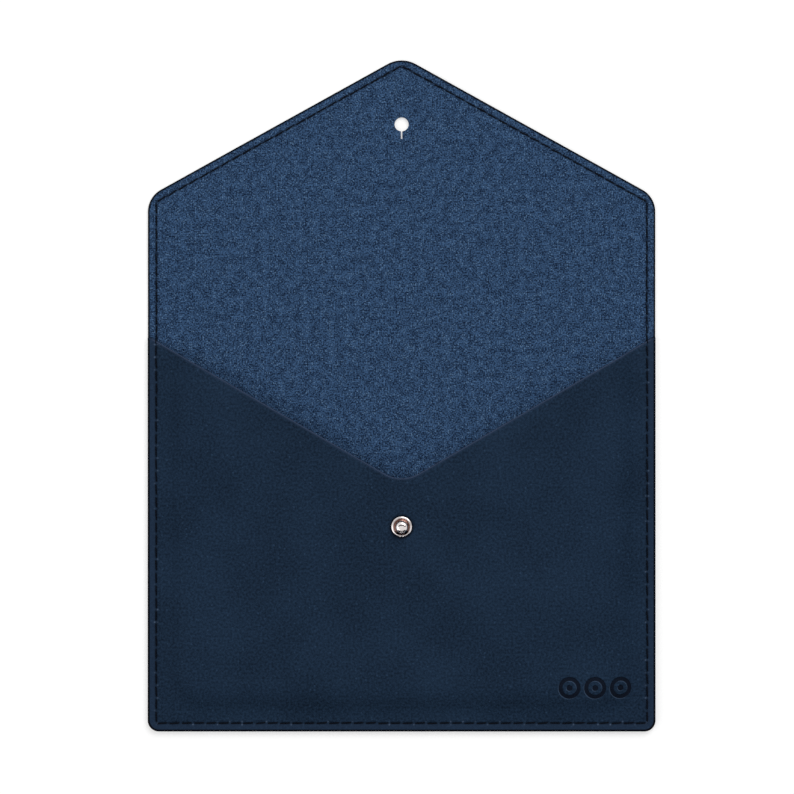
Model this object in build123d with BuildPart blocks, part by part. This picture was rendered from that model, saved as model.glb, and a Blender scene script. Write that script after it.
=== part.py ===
from build123d import *
import os
from math import atan2, atan, cos, degrees, hypot, radians, sin, sqrt, tan

# A sewn envelope with a pointed flap, lying on its back with the flap turned
# out flat. +X runs across it, +Y from the pocket's closed end to the flap's
# point, and +Z up from the table. The origin is on the table, under the middle
# of the outline. Every size is in millimetres, every angle in degrees.

# Sheets: a leatherette cover with a brushed lining laid on its inside
cover_ply = 0.9
lining_ply = 0.5

# Pocket
pocket_width = 208.5
pocket_height = 163.2
bottom_radius = 4.6
card_gap = 5.0
flat_edge = 4.6
slope_run = 15.0
crest_radius = 6.0

# Mouth of the pocket's front
mouth_slope = 30.1
mouth_radius = 13.8
mouth_setback = 0.8

# Flap, folded over the mouth and hooked on the stud
flap_slope = 29.0
flap_overlap = 26.3
tip_radius = 12.0
shoulder_radius = 10.3
flap_clearance = 0.1

# Stud
stud_below_mouth = 19.8
ball_diameter = 5.2
neck_diameter = 3.6
neck_fillet = 0.4
neck_clearance = 0.3
flange_diameter = 8.5
flange_thickness = 0.8
screw_diameter = 2.2
screw_grip = 2.2
screw_head_diameter = 8.0
screw_head_thickness = 0.8
screw_slot_width = 1.0
screw_slot_depth = 0.35
screw_clearance = 0.05

# Hole and slit in the flap
hole_clearance = 0.3
slit_length = 6.0
slit_width = 0.6

# Rings stamped in the front's lower right corner
stamp_from_side = 25.1
stamp_from_bottom = 18.3
stamp_depth = 0.25
ring_count = 3
ring_pitch = 10.5
ring_diameter = 9.0
ring_width = 1.6
ring_dot_diameter = 2.4

# Seam
seam_inset = 3.5
stitch_pitch = 5.1
thread_width = 0.5
thread_crest = 0.15
thread_dip = 0.2
dip_run = 0.7
groove_depth = 0.3
groove_clearance = 0.05
needle_hole_diameter = 0.8
crease_inset = 0.6
mouth_inset = 1.5

# Heights above the table
sheet = cover_ply + lining_ply
lining_top = sheet
edge_top = 2 * sheet
crown_top = edge_top + card_gap
flange_top = crown_top + flange_thickness
flap_underside_closed = flange_top + flap_clearance
neck_top = flap_underside_closed + sheet + neck_clearance
ball_radius = ball_diameter / 2
ball_height = neck_top + sqrt(ball_radius**2 - (neck_diameter / 2) ** 2)

# The fold is a band between two creases, as wide as the closed flap stands off
fold_width = flap_underside_closed - lining_top

# Places along the holder
half_width = pocket_width / 2
mouth_fall = half_width * tan(radians(mouth_slope))
mouth_rounding = mouth_radius * (1 / cos(radians(mouth_slope)) - 1)
stud_from_crease = mouth_setback + mouth_fall - mouth_rounding + stud_below_mouth
flap_reach = stud_from_crease + flap_overlap
total_length = pocket_height + fold_width + flap_reach

y_closed_end = -total_length / 2
y_crease = y_closed_end + pocket_height
y_flap = y_crease + fold_width
y_mouth_corner = y_crease - mouth_setback
y_mouth_point = y_mouth_corner - mouth_fall
y_stud = y_crease - stud_from_crease
y_hole = y_flap + stud_from_crease
tip_rounding = tip_radius * (1 / cos(radians(flap_slope)) - 1)
y_flap_point = y_flap + flap_reach + tip_rounding
y_flap_shoulder = y_flap_point - half_width * tan(radians(flap_slope))

# Places along the seam
x_seam = half_width - seam_inset
y_seam_bottom = y_closed_end + seam_inset
y_mouth_edge = y_mouth_corner - seam_inset * tan(radians(mouth_slope))
y_last_front_hole = y_mouth_edge - mouth_inset
y_pocket_hole = y_crease - crease_inset
y_fold_start = y_crease + crease_inset
y_fold_end = y_flap - crease_inset
y_flap_hole = y_flap + crease_inset
seam_drop = seam_inset / cos(radians(flap_slope))
y_seam_point = y_flap_point - seam_drop
y_seam_shoulder = y_seam_point - x_seam * tan(radians(flap_slope))

front_seam = [
    (-x_seam, y_last_front_hole),
    (-x_seam, y_seam_bottom),
    (x_seam, y_seam_bottom),
    (x_seam, y_last_front_hole),
]
top_stitches = [
    [(side * x_seam, y_last_front_hole), (side * x_seam, y_pocket_hole)]
    for side in (-1, 1)
]
edge_groove = [
    [(side * x_seam, y_mouth_edge), (side * x_seam, y_flap_hole)] for side in (-1, 1)
]
fold_stitches = [
    [(side * x_seam, y_fold_start), (side * x_seam, y_fold_end)] for side in (-1, 1)
]
flap_seam = [
    (-x_seam, y_flap_hole),
    (-x_seam, y_seam_shoulder),
    (0, y_seam_point),
    (x_seam, y_seam_shoulder),
    (x_seam, y_flap_hole),
]

groove_width = thread_width + 2 * groove_clearance
half_thread = thread_width / 2


def straight_runs(corners):
    """The straight runs between a seam's corners, as pairs of points."""
    return list(zip(corners, corners[1:]))


def stitch_count(start, end):
    """How many stitches fill a straight run at about the seam's pitch."""
    return max(1, round(hypot(end[0] - start[0], end[1] - start[1]) / stitch_pitch))


def hole_places(corners):
    """The needle holes of a seam, evenly spaced along each straight run."""
    places = [corners[0]]
    for start, end in straight_runs(corners):
        count = stitch_count(start, end)
        for step in range(1, count + 1):
            share = step / count
            places.append(
                (
                    start[0] + share * (end[0] - start[0]),
                    start[1] + share * (end[1] - start[1]),
                )
            )
    return places


def cut_needle_holes(corners, bottom, thickness):
    """Round holes for the thread, through the sheets between two heights."""
    with BuildSketch(Plane.XY.offset(bottom)) as holes:
        with Locations(*hole_places(corners)):
            Circle(needle_hole_diameter / 2)
    extrude(holes.sketch, amount=thickness, mode=Mode.SUBTRACT)


def cut_groove(corners, surface, depth):
    """The channel that the pulled thread makes. A negative depth cuts down."""
    with BuildSketch(Plane.XY.offset(surface)) as channel:
        for start, end in straight_runs(corners):
            middle = ((start[0] + end[0]) / 2, (start[1] + end[1]) / 2)
            turn = degrees(atan2(end[1] - start[1], end[0] - start[0]))
            length = hypot(end[0] - start[0], end[1] - start[1])
            with Locations(middle):
                SlotCenterToCenter(length, groove_width, rotation=turn)
    extrude(channel.sketch, amount=depth, mode=Mode.SUBTRACT)


def upright_plane(start, end, surface, up):
    """The plane along a run: its x follows the run, its y points out of the sheet."""
    length = hypot(end[0] - start[0], end[1] - start[1])
    along = Vector((end[0] - start[0]) / length, (end[1] - start[1]) / length, 0)
    out = Vector(0, 0, up)
    return Plane(
        origin=(start[0], start[1], surface), x_dir=along, z_dir=along.cross(out)
    )


def sew_run(start, end, surface, up, crest, stack):
    """A straight run of stitches: one thread that dips into every needle hole."""
    count = stitch_count(start, end)
    pitch = hypot(end[0] - start[0], end[1] - start[1]) / count
    leg_foot = -stack / 2
    under = [(count * pitch + half_thread, -thread_dip)]
    for k in range(count, -1, -1):
        under.append((k * pitch + half_thread, leg_foot))
        under.append((k * pitch - half_thread, leg_foot))
        if k > 0:
            under.append((k * pitch - half_thread, -groove_depth))
            under.append(((k - 1) * pitch + half_thread, -groove_depth))
    under.append((-half_thread, -thread_dip))
    over = [(0, -thread_dip)]
    for k in range(count):
        over.append((k * pitch + dip_run, crest))
        over.append(((k + 1) * pitch - dip_run, crest))
        over.append(((k + 1) * pitch, -thread_dip))
    with BuildSketch(upright_plane(start, end, surface, up)) as side_view:
        Polygon(*over, *under)
    extrude(side_view.sketch, amount=half_thread, both=True)


def sew_over_edge(start, end):
    """The stitch from the pocket's front over its cut edge down to the lining."""
    length = end[1] - start[1]
    edge = y_mouth_edge - start[1]
    clear = edge + half_thread * tan(radians(mouth_slope)) + groove_clearance
    foot = -sheet - sheet / 2
    with BuildSketch(upright_plane(start, end, edge_top, 1)) as side_view:
        Polygon(
            (0, -thread_dip),
            (dip_run, thread_crest),
            (clear, thread_crest),
            (length, -sheet - thread_dip),
            (length + half_thread, -sheet - thread_dip),
            (length + half_thread, foot),
            (length - half_thread, foot),
            (length - half_thread, -sheet - groove_depth),
            (clear, -groove_depth),
            (0, -groove_depth),
        )
    extrude(side_view.sketch, amount=half_thread, both=True)


def pocket_outline():
    """The pocket's plan, square at the crease and rounded at its closed end."""
    with Locations((0, y_crease)):
        Rectangle(pocket_width, pocket_height, align=(Align.CENTER, Align.MAX))
    fillet(vertices().group_by(Axis.Y)[0], radius=bottom_radius)


def flap_outline():
    """The flap's plan: square sides from the crease, then two slopes to its point."""
    Polygon(
        (-half_width, y_flap),
        (half_width, y_flap),
        (half_width, y_flap_shoulder),
        (0, y_flap_point),
        (-half_width, y_flap_shoulder),
    )
    fillet(vertices().group_by(Axis.Y)[1], radius=shoulder_radius)
    fillet(vertices().sort_by(Axis.Y)[-1], radius=tip_radius)


def fold_outline():
    """The band between the two creases."""
    with Locations((0, y_crease)):
        Rectangle(pocket_width, fold_width, align=(Align.CENTER, Align.MIN))


# The front's slope is two arcs of equal size, one bending up and one back level
slope_angle = degrees(2 * atan(card_gap / slope_run))
slope_radius = slope_run / sin(radians(slope_angle)) / 2
foot_radius = crest_radius + slope_run
slope_middle = lining_top + sheet / 2


def slope_arcs(height):
    """The slope's outline at a height within the sheet, from its foot inwards."""
    above = height - slope_middle
    foot = JernArc((0, height), (1, 0), slope_radius - above, slope_angle)
    JernArc(foot @ 1, foot % 1, slope_radius + above, -slope_angle)


def raised_sheet(bottom, thickness):
    """One ply of the pocket's front: a flat edge, a slope and a raised middle."""
    top = bottom + thickness
    foot_x = half_width - flat_edge
    foot_y = y_closed_end + flat_edge
    with BuildSketch(Plane.XY.offset(bottom)) as flat:
        pocket_outline()
        with BuildSketch(mode=Mode.SUBTRACT):
            with Locations((0, y_crease)):
                Rectangle(2 * foot_x, y_crease - foot_y, align=(Align.CENTER, Align.MAX))
            fillet(vertices().group_by(Axis.Y)[0], radius=foot_radius)
    extrude(flat.sketch, amount=thickness)
    with BuildSketch(Plane.XY.offset(bottom + card_gap)) as crown:
        with Locations((0, y_crease)):
            Rectangle(
                2 * (foot_x - slope_run),
                y_crease - foot_y - slope_run,
                align=(Align.CENTER, Align.MAX),
            )
        fillet(vertices().group_by(Axis.Y)[0], radius=crest_radius)
    extrude(crown.sketch, amount=thickness)
    with BuildLine() as foot_line:
        FilletPolyline(
            (-foot_x, y_crease),
            (-foot_x, foot_y),
            (foot_x, foot_y),
            (foot_x, y_crease),
            radius=foot_radius,
        )
    start_plane = Plane((-foot_x, y_crease, 0), x_dir=(1, 0, 0), z_dir=(0, -1, 0))
    with BuildSketch(start_plane) as slope:
        with BuildLine():
            slope_arcs(bottom)
            slope_arcs(top)
            Line((0, bottom), (0, top))
            Line((slope_run, bottom + card_gap), (slope_run, top + card_gap))
        make_face()
    sweep(slope.sketch, path=foot_line.wire())


def cut_mouth():
    """The wide V at the front's open edge, rounded at its lowest point."""
    beyond = half_width + foot_radius
    with BuildSketch() as mouth:
        Polygon(
            (0, y_mouth_point),
            (half_width, y_mouth_corner),
            (beyond, y_mouth_corner),
            (beyond, y_flap),
            (-beyond, y_flap),
            (-beyond, y_mouth_corner),
            (-half_width, y_mouth_corner),
        )
        fillet(vertices().sort_by(Axis.Y)[0], radius=mouth_radius)
    extrude(mouth.sketch, amount=flange_top, mode=Mode.SUBTRACT)


def cut_stud_hole(surface, thickness):
    """The round hole the ball passes through, with a slit towards the crease."""
    with BuildSketch(Plane.XY.offset(surface)) as keyhole:
        with Locations((0, y_hole)):
            Circle(ball_radius + hole_clearance)
        with Locations((0, y_hole - slit_length / 2)):
            SlotCenterToCenter(slit_length, slit_width, rotation=90)
    extrude(keyhole.sketch, amount=thickness, mode=Mode.SUBTRACT)


# Pocket's back
with BuildPart() as back_cover:
    with BuildSketch():
        pocket_outline()
    extrude(amount=cover_ply)
    cut_groove(front_seam, 0, groove_depth)
    cut_needle_holes(front_seam, 0, cover_ply)
    for groove in edge_groove:
        cut_groove(groove, 0, groove_depth)
    for stitch in top_stitches:
        cut_groove(stitch, 0, groove_depth)
        cut_needle_holes(stitch, 0, cover_ply)
back_cover.part.label = "back_cover"

with BuildPart() as back_lining:
    with BuildSketch(Plane.XY.offset(cover_ply)):
        pocket_outline()
    extrude(amount=lining_ply)
    cut_needle_holes(front_seam, cover_ply, lining_ply)
    for groove in edge_groove:
        cut_groove(groove, lining_top, -groove_depth)
    for stitch in top_stitches:
        cut_needle_holes(stitch, cover_ply, lining_ply)
back_lining.part.label = "back_lining"

# Pocket's front
with BuildPart() as front_lining:
    raised_sheet(lining_top, lining_ply)
    cut_mouth()
    cut_needle_holes(front_seam, lining_top, lining_ply)
    with BuildSketch(Plane.XY.offset(lining_top + card_gap)):
        with Locations((0, y_stud)):
            Circle(screw_head_diameter / 2 + screw_clearance)
    extrude(amount=lining_ply, mode=Mode.SUBTRACT)
front_lining.part.label = "front_lining"

# What the stamp presses out of the front: rings of even depth on its rising surface
with BuildPart() as ring_stamp:
    raised_sheet(edge_top - stamp_depth, stamp_depth)
    with BuildSketch():
        with Locations((half_width - stamp_from_side, y_closed_end + stamp_from_bottom)):
            with GridLocations(ring_pitch, ring_pitch, ring_count, 1):
                Circle(ring_diameter / 2)
                Circle(ring_diameter / 2 - ring_width, mode=Mode.SUBTRACT)
                Circle(ring_dot_diameter / 2)
    extrude(amount=crown_top, mode=Mode.INTERSECT)

with BuildPart() as front_cover:
    raised_sheet(lining_top + lining_ply, cover_ply)
    cut_mouth()
    cut_groove(front_seam, edge_top, -groove_depth)
    for stitch in top_stitches:
        cut_groove(stitch, edge_top, -groove_depth)
    cut_needle_holes(front_seam, lining_top + lining_ply, cover_ply)
    add(ring_stamp.part, mode=Mode.SUBTRACT)
    with BuildSketch(Plane.XY.offset(crown_top)):
        with Locations((0, y_stud)):
            Circle(screw_diameter / 2 + screw_clearance)
    extrude(amount=-cover_ply, mode=Mode.SUBTRACT)
front_cover.part.label = "front_cover"

# Fold band between the two creases
with BuildPart() as fold_cover:
    with BuildSketch():
        fold_outline()
    extrude(amount=cover_ply)
    for groove in edge_groove:
        cut_groove(groove, 0, groove_depth)
    for stitch in fold_stitches:
        cut_needle_holes(stitch, 0, cover_ply)
fold_cover.part.label = "fold_cover"

with BuildPart() as fold_lining:
    with BuildSketch(Plane.XY.offset(cover_ply)):
        fold_outline()
    extrude(amount=lining_ply)
    for groove in edge_groove:
        cut_groove(groove, lining_top, -groove_depth)
    for stitch in fold_stitches:
        cut_needle_holes(stitch, cover_ply, lining_ply)
fold_lining.part.label = "fold_lining"

# Flap
flap_groove = [(-x_seam, y_crease), *flap_seam[1:-1], (x_seam, y_crease)]

with BuildPart() as flap_cover:
    with BuildSketch():
        flap_outline()
    extrude(amount=cover_ply)
    cut_groove(flap_groove, 0, groove_depth)
    cut_needle_holes(flap_seam, 0, cover_ply)
    cut_stud_hole(0, cover_ply)
flap_cover.part.label = "flap_cover"

with BuildPart() as flap_lining:
    with BuildSketch(Plane.XY.offset(cover_ply)):
        flap_outline()
    extrude(amount=lining_ply)
    cut_groove(flap_groove, lining_top, -groove_depth)
    cut_needle_holes(flap_seam, cover_ply, lining_ply)
    cut_stud_hole(cover_ply, lining_ply)
flap_lining.part.label = "flap_lining"

# Thread: the needle thread lies on the inside, the bobbin thread on the back
with BuildPart() as pocket_needle_thread:
    for start, end in straight_runs(front_seam):
        sew_run(start, end, edge_top, 1, thread_crest, 2 * sheet)
    for start, end in top_stitches:
        sew_over_edge(start, end)
pocket_needle_thread.part.label = "pocket_needle_thread"

with BuildPart() as pocket_bobbin_thread:
    for start, end in straight_runs(front_seam):
        sew_run(start, end, 0, -1, 0, 2 * sheet)
    for start, end in top_stitches:
        sew_run(start, end, 0, -1, 0, sheet)
pocket_bobbin_thread.part.label = "pocket_bobbin_thread"

with BuildPart() as fold_needle_thread:
    for start, end in fold_stitches:
        sew_run(start, end, lining_top, 1, thread_crest, sheet)
fold_needle_thread.part.label = "fold_needle_thread"

with BuildPart() as fold_bobbin_thread:
    for start, end in fold_stitches:
        sew_run(start, end, 0, -1, 0, sheet)
fold_bobbin_thread.part.label = "fold_bobbin_thread"

with BuildPart() as flap_needle_thread:
    for start, end in straight_runs(flap_seam):
        sew_run(start, end, lining_top, 1, thread_crest, sheet)
flap_needle_thread.part.label = "flap_needle_thread"

with BuildPart() as flap_bobbin_thread:
    for start, end in straight_runs(flap_seam):
        sew_run(start, end, 0, -1, 0, sheet)
flap_bobbin_thread.part.label = "flap_bobbin_thread"

# Stud: a knob outside the front, held by a flat screw from inside the pocket
rim_radius = flange_thickness / 2
neck_radius = neck_diameter / 2
flange_radius = flange_diameter / 2
screw_top = crown_top + screw_grip

with BuildPart() as stud_knob:
    with BuildSketch(Plane((0, y_stud, 0), x_dir=(1, 0, 0), z_dir=(0, -1, 0))):
        with BuildLine():
            Line((0, crown_top), (flange_radius - rim_radius, crown_top))
            ThreePointArc(
                (flange_radius - rim_radius, crown_top),
                (flange_radius, crown_top + rim_radius),
                (flange_radius - rim_radius, flange_top),
            )
            Polyline(
                (flange_radius - rim_radius, flange_top),
                (neck_radius, flange_top),
                (neck_radius, neck_top),
            )
            ThreePointArc(
                (neck_radius, neck_top),
                (ball_radius, ball_height),
                (0, ball_height + ball_radius),
            )
            Line((0, ball_height + ball_radius), (0, crown_top))
        make_face()
        fillet(
            vertices().filter_by_position(Axis.Y, flange_top, flange_top).sort_by(Axis.X)[0],
            radius=neck_fillet,
        )
    revolve(axis=Axis((0, y_stud, 0), (0, 0, 1)))
    with BuildSketch(Plane.XY.offset(crown_top)):
        with Locations((0, y_stud)):
            Circle(screw_diameter / 2 + screw_clearance)
    extrude(amount=screw_grip + screw_clearance, mode=Mode.SUBTRACT)
stud_knob.part.label = "stud_knob"

with BuildPart() as stud_screw:
    head_top = crown_top - cover_ply
    with BuildSketch(Plane.XY.offset(head_top)):
        with Locations((0, y_stud)):
            Circle(screw_head_diameter / 2)
    extrude(amount=-screw_head_thickness)
    fillet(
        edges().filter_by(GeomType.CIRCLE).sort_by(Axis.Z)[0],
        radius=screw_head_thickness / 2,
    )
    with BuildSketch(Plane.XY.offset(head_top)):
        with Locations((0, y_stud)):
            Circle(screw_diameter / 2)
    extrude(amount=screw_top - head_top)
    with BuildSketch(Plane.XY.offset(head_top - screw_head_thickness)):
        with Locations((0, y_stud)):
            Rectangle(screw_head_diameter, screw_slot_width)
    extrude(amount=screw_slot_depth, mode=Mode.SUBTRACT)
stud_screw.part.label = "stud_screw"

os.makedirs("parts", exist_ok=True)
for piece in (
    back_cover,
    back_lining,
    front_lining,
    front_cover,
    fold_cover,
    fold_lining,
    flap_cover,
    flap_lining,
    pocket_needle_thread,
    pocket_bobbin_thread,
    fold_needle_thread,
    fold_bobbin_thread,
    flap_needle_thread,
    flap_bobbin_thread,
    stud_knob,
    stud_screw,
):
    export_step(piece.part, f"parts/{piece.part.label}.step")
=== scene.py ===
# %% [markdown]
# # Dressing a sewn holder
# The holder is a flat envelope: a back sheet that runs on into a pointed flap, a front sheet
# sewn over it on three sides, and a small metal stud that the flap hooks on. Every sheet is
# leatherette with a brushed lining glued to its inside. The frame loaded here holds each piece
# at its real size. The steps below give the pieces soft edges, sewn thread and their finishes,
# and leave their sizes and places alone.

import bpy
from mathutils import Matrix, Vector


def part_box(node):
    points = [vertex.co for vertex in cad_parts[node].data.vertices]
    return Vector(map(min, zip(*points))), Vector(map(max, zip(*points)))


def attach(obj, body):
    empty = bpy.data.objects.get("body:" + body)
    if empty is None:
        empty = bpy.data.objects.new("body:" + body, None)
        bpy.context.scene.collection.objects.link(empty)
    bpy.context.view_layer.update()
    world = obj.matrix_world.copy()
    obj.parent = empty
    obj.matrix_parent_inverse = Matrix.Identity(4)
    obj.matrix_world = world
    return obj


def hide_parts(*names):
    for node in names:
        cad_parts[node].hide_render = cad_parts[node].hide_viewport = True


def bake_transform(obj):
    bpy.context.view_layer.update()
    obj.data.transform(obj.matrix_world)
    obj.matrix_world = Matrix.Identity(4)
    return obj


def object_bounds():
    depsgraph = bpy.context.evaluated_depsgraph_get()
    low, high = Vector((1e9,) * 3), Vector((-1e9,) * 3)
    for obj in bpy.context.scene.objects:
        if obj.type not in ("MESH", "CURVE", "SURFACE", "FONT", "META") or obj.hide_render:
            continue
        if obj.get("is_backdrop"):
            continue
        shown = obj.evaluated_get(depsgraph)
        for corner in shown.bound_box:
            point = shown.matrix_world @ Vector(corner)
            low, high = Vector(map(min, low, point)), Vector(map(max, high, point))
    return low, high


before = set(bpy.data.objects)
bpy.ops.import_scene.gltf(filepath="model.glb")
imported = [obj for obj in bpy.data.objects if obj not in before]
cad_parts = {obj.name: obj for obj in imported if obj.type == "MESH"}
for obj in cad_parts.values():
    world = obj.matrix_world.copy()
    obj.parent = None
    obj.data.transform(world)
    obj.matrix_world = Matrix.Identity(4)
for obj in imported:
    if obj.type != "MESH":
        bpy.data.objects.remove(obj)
cad_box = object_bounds()

# %% [markdown]
# A maker measures before cutting. The frame's boxes give the outline, the creases, the
# heights and the stud. What a box can't tell, such as a corner's radius or the pitch of the
# stitches, is written here once in millimetres. A ply is one layer, and a sheet is its two
# plies, cover and lining, glued together.

# %% Sizes
from contextlib import contextmanager
from math import atan, atan2, ceil, cos, hypot, pi, radians, sin, tan

import bpy
import numpy as np
from mathutils import Vector

mm = 0.001
back_low, back_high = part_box("back_cover")
front_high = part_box("front_cover")[1]
stud_low, stud_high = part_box("stud_knob")

half_width = back_high.x
y_closed_end = back_low.y
y_crease = back_high.y
y_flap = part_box("fold_cover")[1].y
y_split = (y_crease + y_flap) / 2
y_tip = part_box("flap_cover")[1].y
y_mouth_corner = front_high.y
cover_ply = back_high.z
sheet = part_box("back_lining")[1].z
lining_ply = sheet - cover_ply
crown_top = front_high.z
pocket_gap = crown_top - 2 * sheet
y_stud = (stud_low.y + stud_high.y) / 2
flange_radius = (stud_high.x - stud_low.x) / 2
y_hole = y_flap + y_crease - y_stud

bottom_radius = 4.6 * mm
mouth_slope = radians(30.1)
mouth_radius = 13.8 * mm
flap_slope = radians(29)
tip_radius = 12 * mm
shoulder_radius = 10.3 * mm
y_flap_point = y_tip + tip_radius * (1 / cos(flap_slope) - 1)
y_shoulder = y_flap_point - half_width * tan(flap_slope)
y_mouth_point = y_mouth_corner - half_width * tan(mouth_slope)
print(f"outline {2 * half_width / mm:.1f} x {(y_tip - y_closed_end) / mm:.1f} mm")

# %% [markdown]
# ## Camera, floor and light
# The holder was pictured from straight above on white. A long lens a good metre up keeps the
# raised front from looking bigger than the flap. The picture is a little wider than the
# holder, which sits slightly right of its middle.

# %% Camera
picture_width = 326.5 * mm
lens = 150
sensor = 36
camera_height = picture_width * lens / sensor
picture_middle = (-1.9 * mm, -0.5 * mm)

bpy.ops.object.camera_add(location=(*picture_middle, camera_height), rotation=(0, 0, 0))
camera = bpy.context.object
camera.name = "camera"
camera.data.lens = lens
camera.data.sensor_width = sensor
bpy.context.scene.camera = camera
bpy.context.scene.view_settings.view_transform = "Standard"
print(f"camera {camera_height:.2f} m above the table")

# %% [markdown]
# A material is a small tree of shader nodes. These helpers add one node and fill its sockets
# with plain values or with links from other nodes, so that each tree below reads from the
# surface's coordinates down to its shader.


# %% Node helpers
def add_node(tree, kind, sockets=None, **settings):
    """Adds a shader node, sets it up and fills its inputs with values or links."""
    node = tree.nodes.new("ShaderNode" + kind)
    for name, value in settings.items():
        setattr(node, name, value)
    for name, value in (sockets or {}).items():
        if isinstance(value, bpy.types.NodeSocket):
            tree.links.new(value, node.inputs[name])
        else:
            node.inputs[name].default_value = value
    return node


def calculate(tree, operation, *values):
    """The result of a Math node."""
    return add_node(tree, "Math", dict(enumerate(values)), operation=operation).outputs[0]


def between(tree, value, low, high):
    """A value from 0 to 1, turned into one from low to high."""
    return add_node(tree, "MapRange", {"Value": value, "To Min": low, "To Max": high}).outputs[0]


def new_material(name):
    """An empty material and its tree."""
    material = bpy.data.materials.new(name)
    material.use_nodes = True
    material.node_tree.nodes.clear()
    return material, material.node_tree


def put_out(tree, shader):
    """Sends a shader to the material's output."""
    add_node(tree, "OutputMaterial", {"Surface": shader.outputs[0]})


def seen_directly(tree):
    """1 for what the camera, gloss and glass see, 0 for the light that falls on the holder."""
    path = add_node(tree, "LightPath").outputs
    seen = calculate(tree, "MAXIMUM", path["Is Camera Ray"], path["Is Glossy Ray"])
    return calculate(tree, "MAXIMUM", seen, path["Is Transmission Ray"])


print("the frame brings", len(bpy.data.materials), "plain materials of its own")

# %% [markdown]
# The floor is a white sheet of paper a hair below the holder. For the camera and for gloss it
# shines just enough to come out white, and it still darkens where the holder shades it. A
# brighter lamp would whiten it too, but would bleach the navy, so the paper does it alone.

# %% Floor
floor_gap = 0.05 * mm
floor_size = 4
paper_grey = (0.58, 0.58, 0.58, 1)
paper_glow = 0.48

bpy.ops.mesh.primitive_plane_add(size=floor_size, location=(0, 0, cad_box[0].z - floor_gap))
floor = bpy.context.object
floor.name = "floor"
floor.visible_diffuse = False
paper, tree = new_material("white_paper")
matte = add_node(tree, "BsdfDiffuse", {"Color": paper_grey}).outputs[0]
glow = add_node(tree, "Emission", {"Color": (1, 1, 1, 1), "Strength": paper_glow}).outputs[0]
lifted = add_node(tree, "AddShader", {0: matte, 1: glow}).outputs[0]
put_out(tree, add_node(tree, "MixShader", {0: seen_directly(tree), 1: matte, 2: lifted}))
floor.data.materials.append(paper)
floor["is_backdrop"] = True
print(f"floor {floor_gap / mm:.2f} mm below the holder")

# %% [markdown]
# The paper gives no light of its own: the world, white all round, lights the holder from every
# side at an even level. Polished metal shows the whole room, and a room that is white
# everywhere makes it look like plaster, so it darkens a little towards the horizon. That is
# for gloss alone, because a darker world would also dim the leatherette.

# %% World
room_light = 0.5
horizon_height = 0.4
horizon_light = 0.85

world = bpy.data.worlds.new("white_room")
bpy.context.scene.world = world
world.use_nodes = True
tree = world.node_tree
tree.nodes.clear()
direction = add_node(tree, "TexCoord").outputs["Generated"]
upwards = add_node(tree, "SeparateXYZ", {"Vector": direction}).outputs["Z"]
horizon = {"Value": upwards, "From Max": horizon_height, "To Min": horizon_light}
horizon = add_node(tree, "MapRange", horizon).outputs[0]
is_gloss = add_node(tree, "LightPath").outputs["Is Glossy Ray"]
shown = add_node(tree, "Mix", {0: is_gloss, 2: 1.0, 3: horizon}).outputs[0]
strength = between(tree, seen_directly(tree), room_light, shown)
white = add_node(tree, "Background", {"Color": (1, 1, 1, 1), "Strength": strength})
add_node(tree, "OutputWorld", {"Surface": white.outputs[0]})
print("the room lights the holder at", room_light)

# %% [markdown]
# Even light alone hides the seam's valley and the grain. Two large soft lamps, a window above
# the flap and a weaker board at the lower left, give it a direction. Small lamps would show
# more, but with hard shadows.

# %% Lamps
lamps = {
    # place, size and watts
    "window": ((0.45, 0.85, 1.25), 1.0, 13.0),
    "bounce_board": ((-0.95, -0.35, 1.1), 1.2, 5.0),
}
for name, (place, size, watts) in lamps.items():
    aim = (-Vector(place)).to_track_quat("-Z", "Y").to_euler()
    bpy.ops.object.light_add(type="AREA", location=place, rotation=aim)
    lamp = bpy.context.object
    lamp.name = name
    lamp.data.size = size
    lamp.data.energy = watts
print("lamps:", ", ".join(lamps))

# %% [markdown]
# A polished ball is read by its dark reflections. Boards stand where a camera's boom and its
# operator would, with one at each side, and nothing but gloss sees them. A painted pattern on
# the ball would look the same from here, and wrong from everywhere else.

# %% Dark boards
boards = {
    # middle, size and tilt
    "boom_board": ((0, 0.12, 1.5), (3.2, 0.24), 0),
    "left_board": ((-0.62, -0.9, 0.85), (0.9, 1.6), pi / 2),
    "right_board": ((0.62, -0.9, 0.85), (0.9, 1.6), pi / 2),
    "operator_board": ((0, -0.95, 1.1), (0.2, 2.0), pi / 2),
}
black_cloth, tree = new_material("black_cloth")
put_out(tree, add_node(tree, "BsdfDiffuse", {"Color": (0.01, 0.01, 0.012, 1)}))
for name, (place, size, tilt) in boards.items():
    bpy.ops.mesh.primitive_plane_add(size=1, location=place, rotation=(tilt, 0, 0))
    board = bpy.context.object
    board.name = name
    board.scale = (*size, 1)
    for kind in ("camera", "diffuse", "transmission", "shadow"):
        setattr(board, "visible_" + kind, False)
    board.data.materials.append(black_cloth)
    board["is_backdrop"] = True
print("dark boards:", ", ".join(boards))

# %% [markdown]
# ## Shared effects
# Three effects turn up in more than one finish, so each is a node group with named inputs: a
# place, some numbers, and one number out. Copying their nodes into every material would work
# too, but a later change would then have to be made in each. Their lengths are in
# millimetres, because the finishes measure the sheets in millimetres.
#
# Mottle is the cloudy, grainy variation of dyed stock: wide soft clouds with fine grains.


# %% Mottle
def new_group(name, numbers, answer):
    """An empty node group, its inputs and the socket that its answer goes to."""
    group = bpy.data.node_groups.new(name, "ShaderNodeTree")
    group.interface.new_socket("Vector", in_out="INPUT", socket_type="NodeSocketVector")
    for number in numbers:
        group.interface.new_socket(number, in_out="INPUT", socket_type="NodeSocketFloat")
    group.interface.new_socket(answer, in_out="OUTPUT", socket_type="NodeSocketFloat")
    entry = group.nodes.new("NodeGroupInput").outputs
    return group, entry, group.nodes.new("NodeGroupOutput").inputs[answer]


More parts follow.
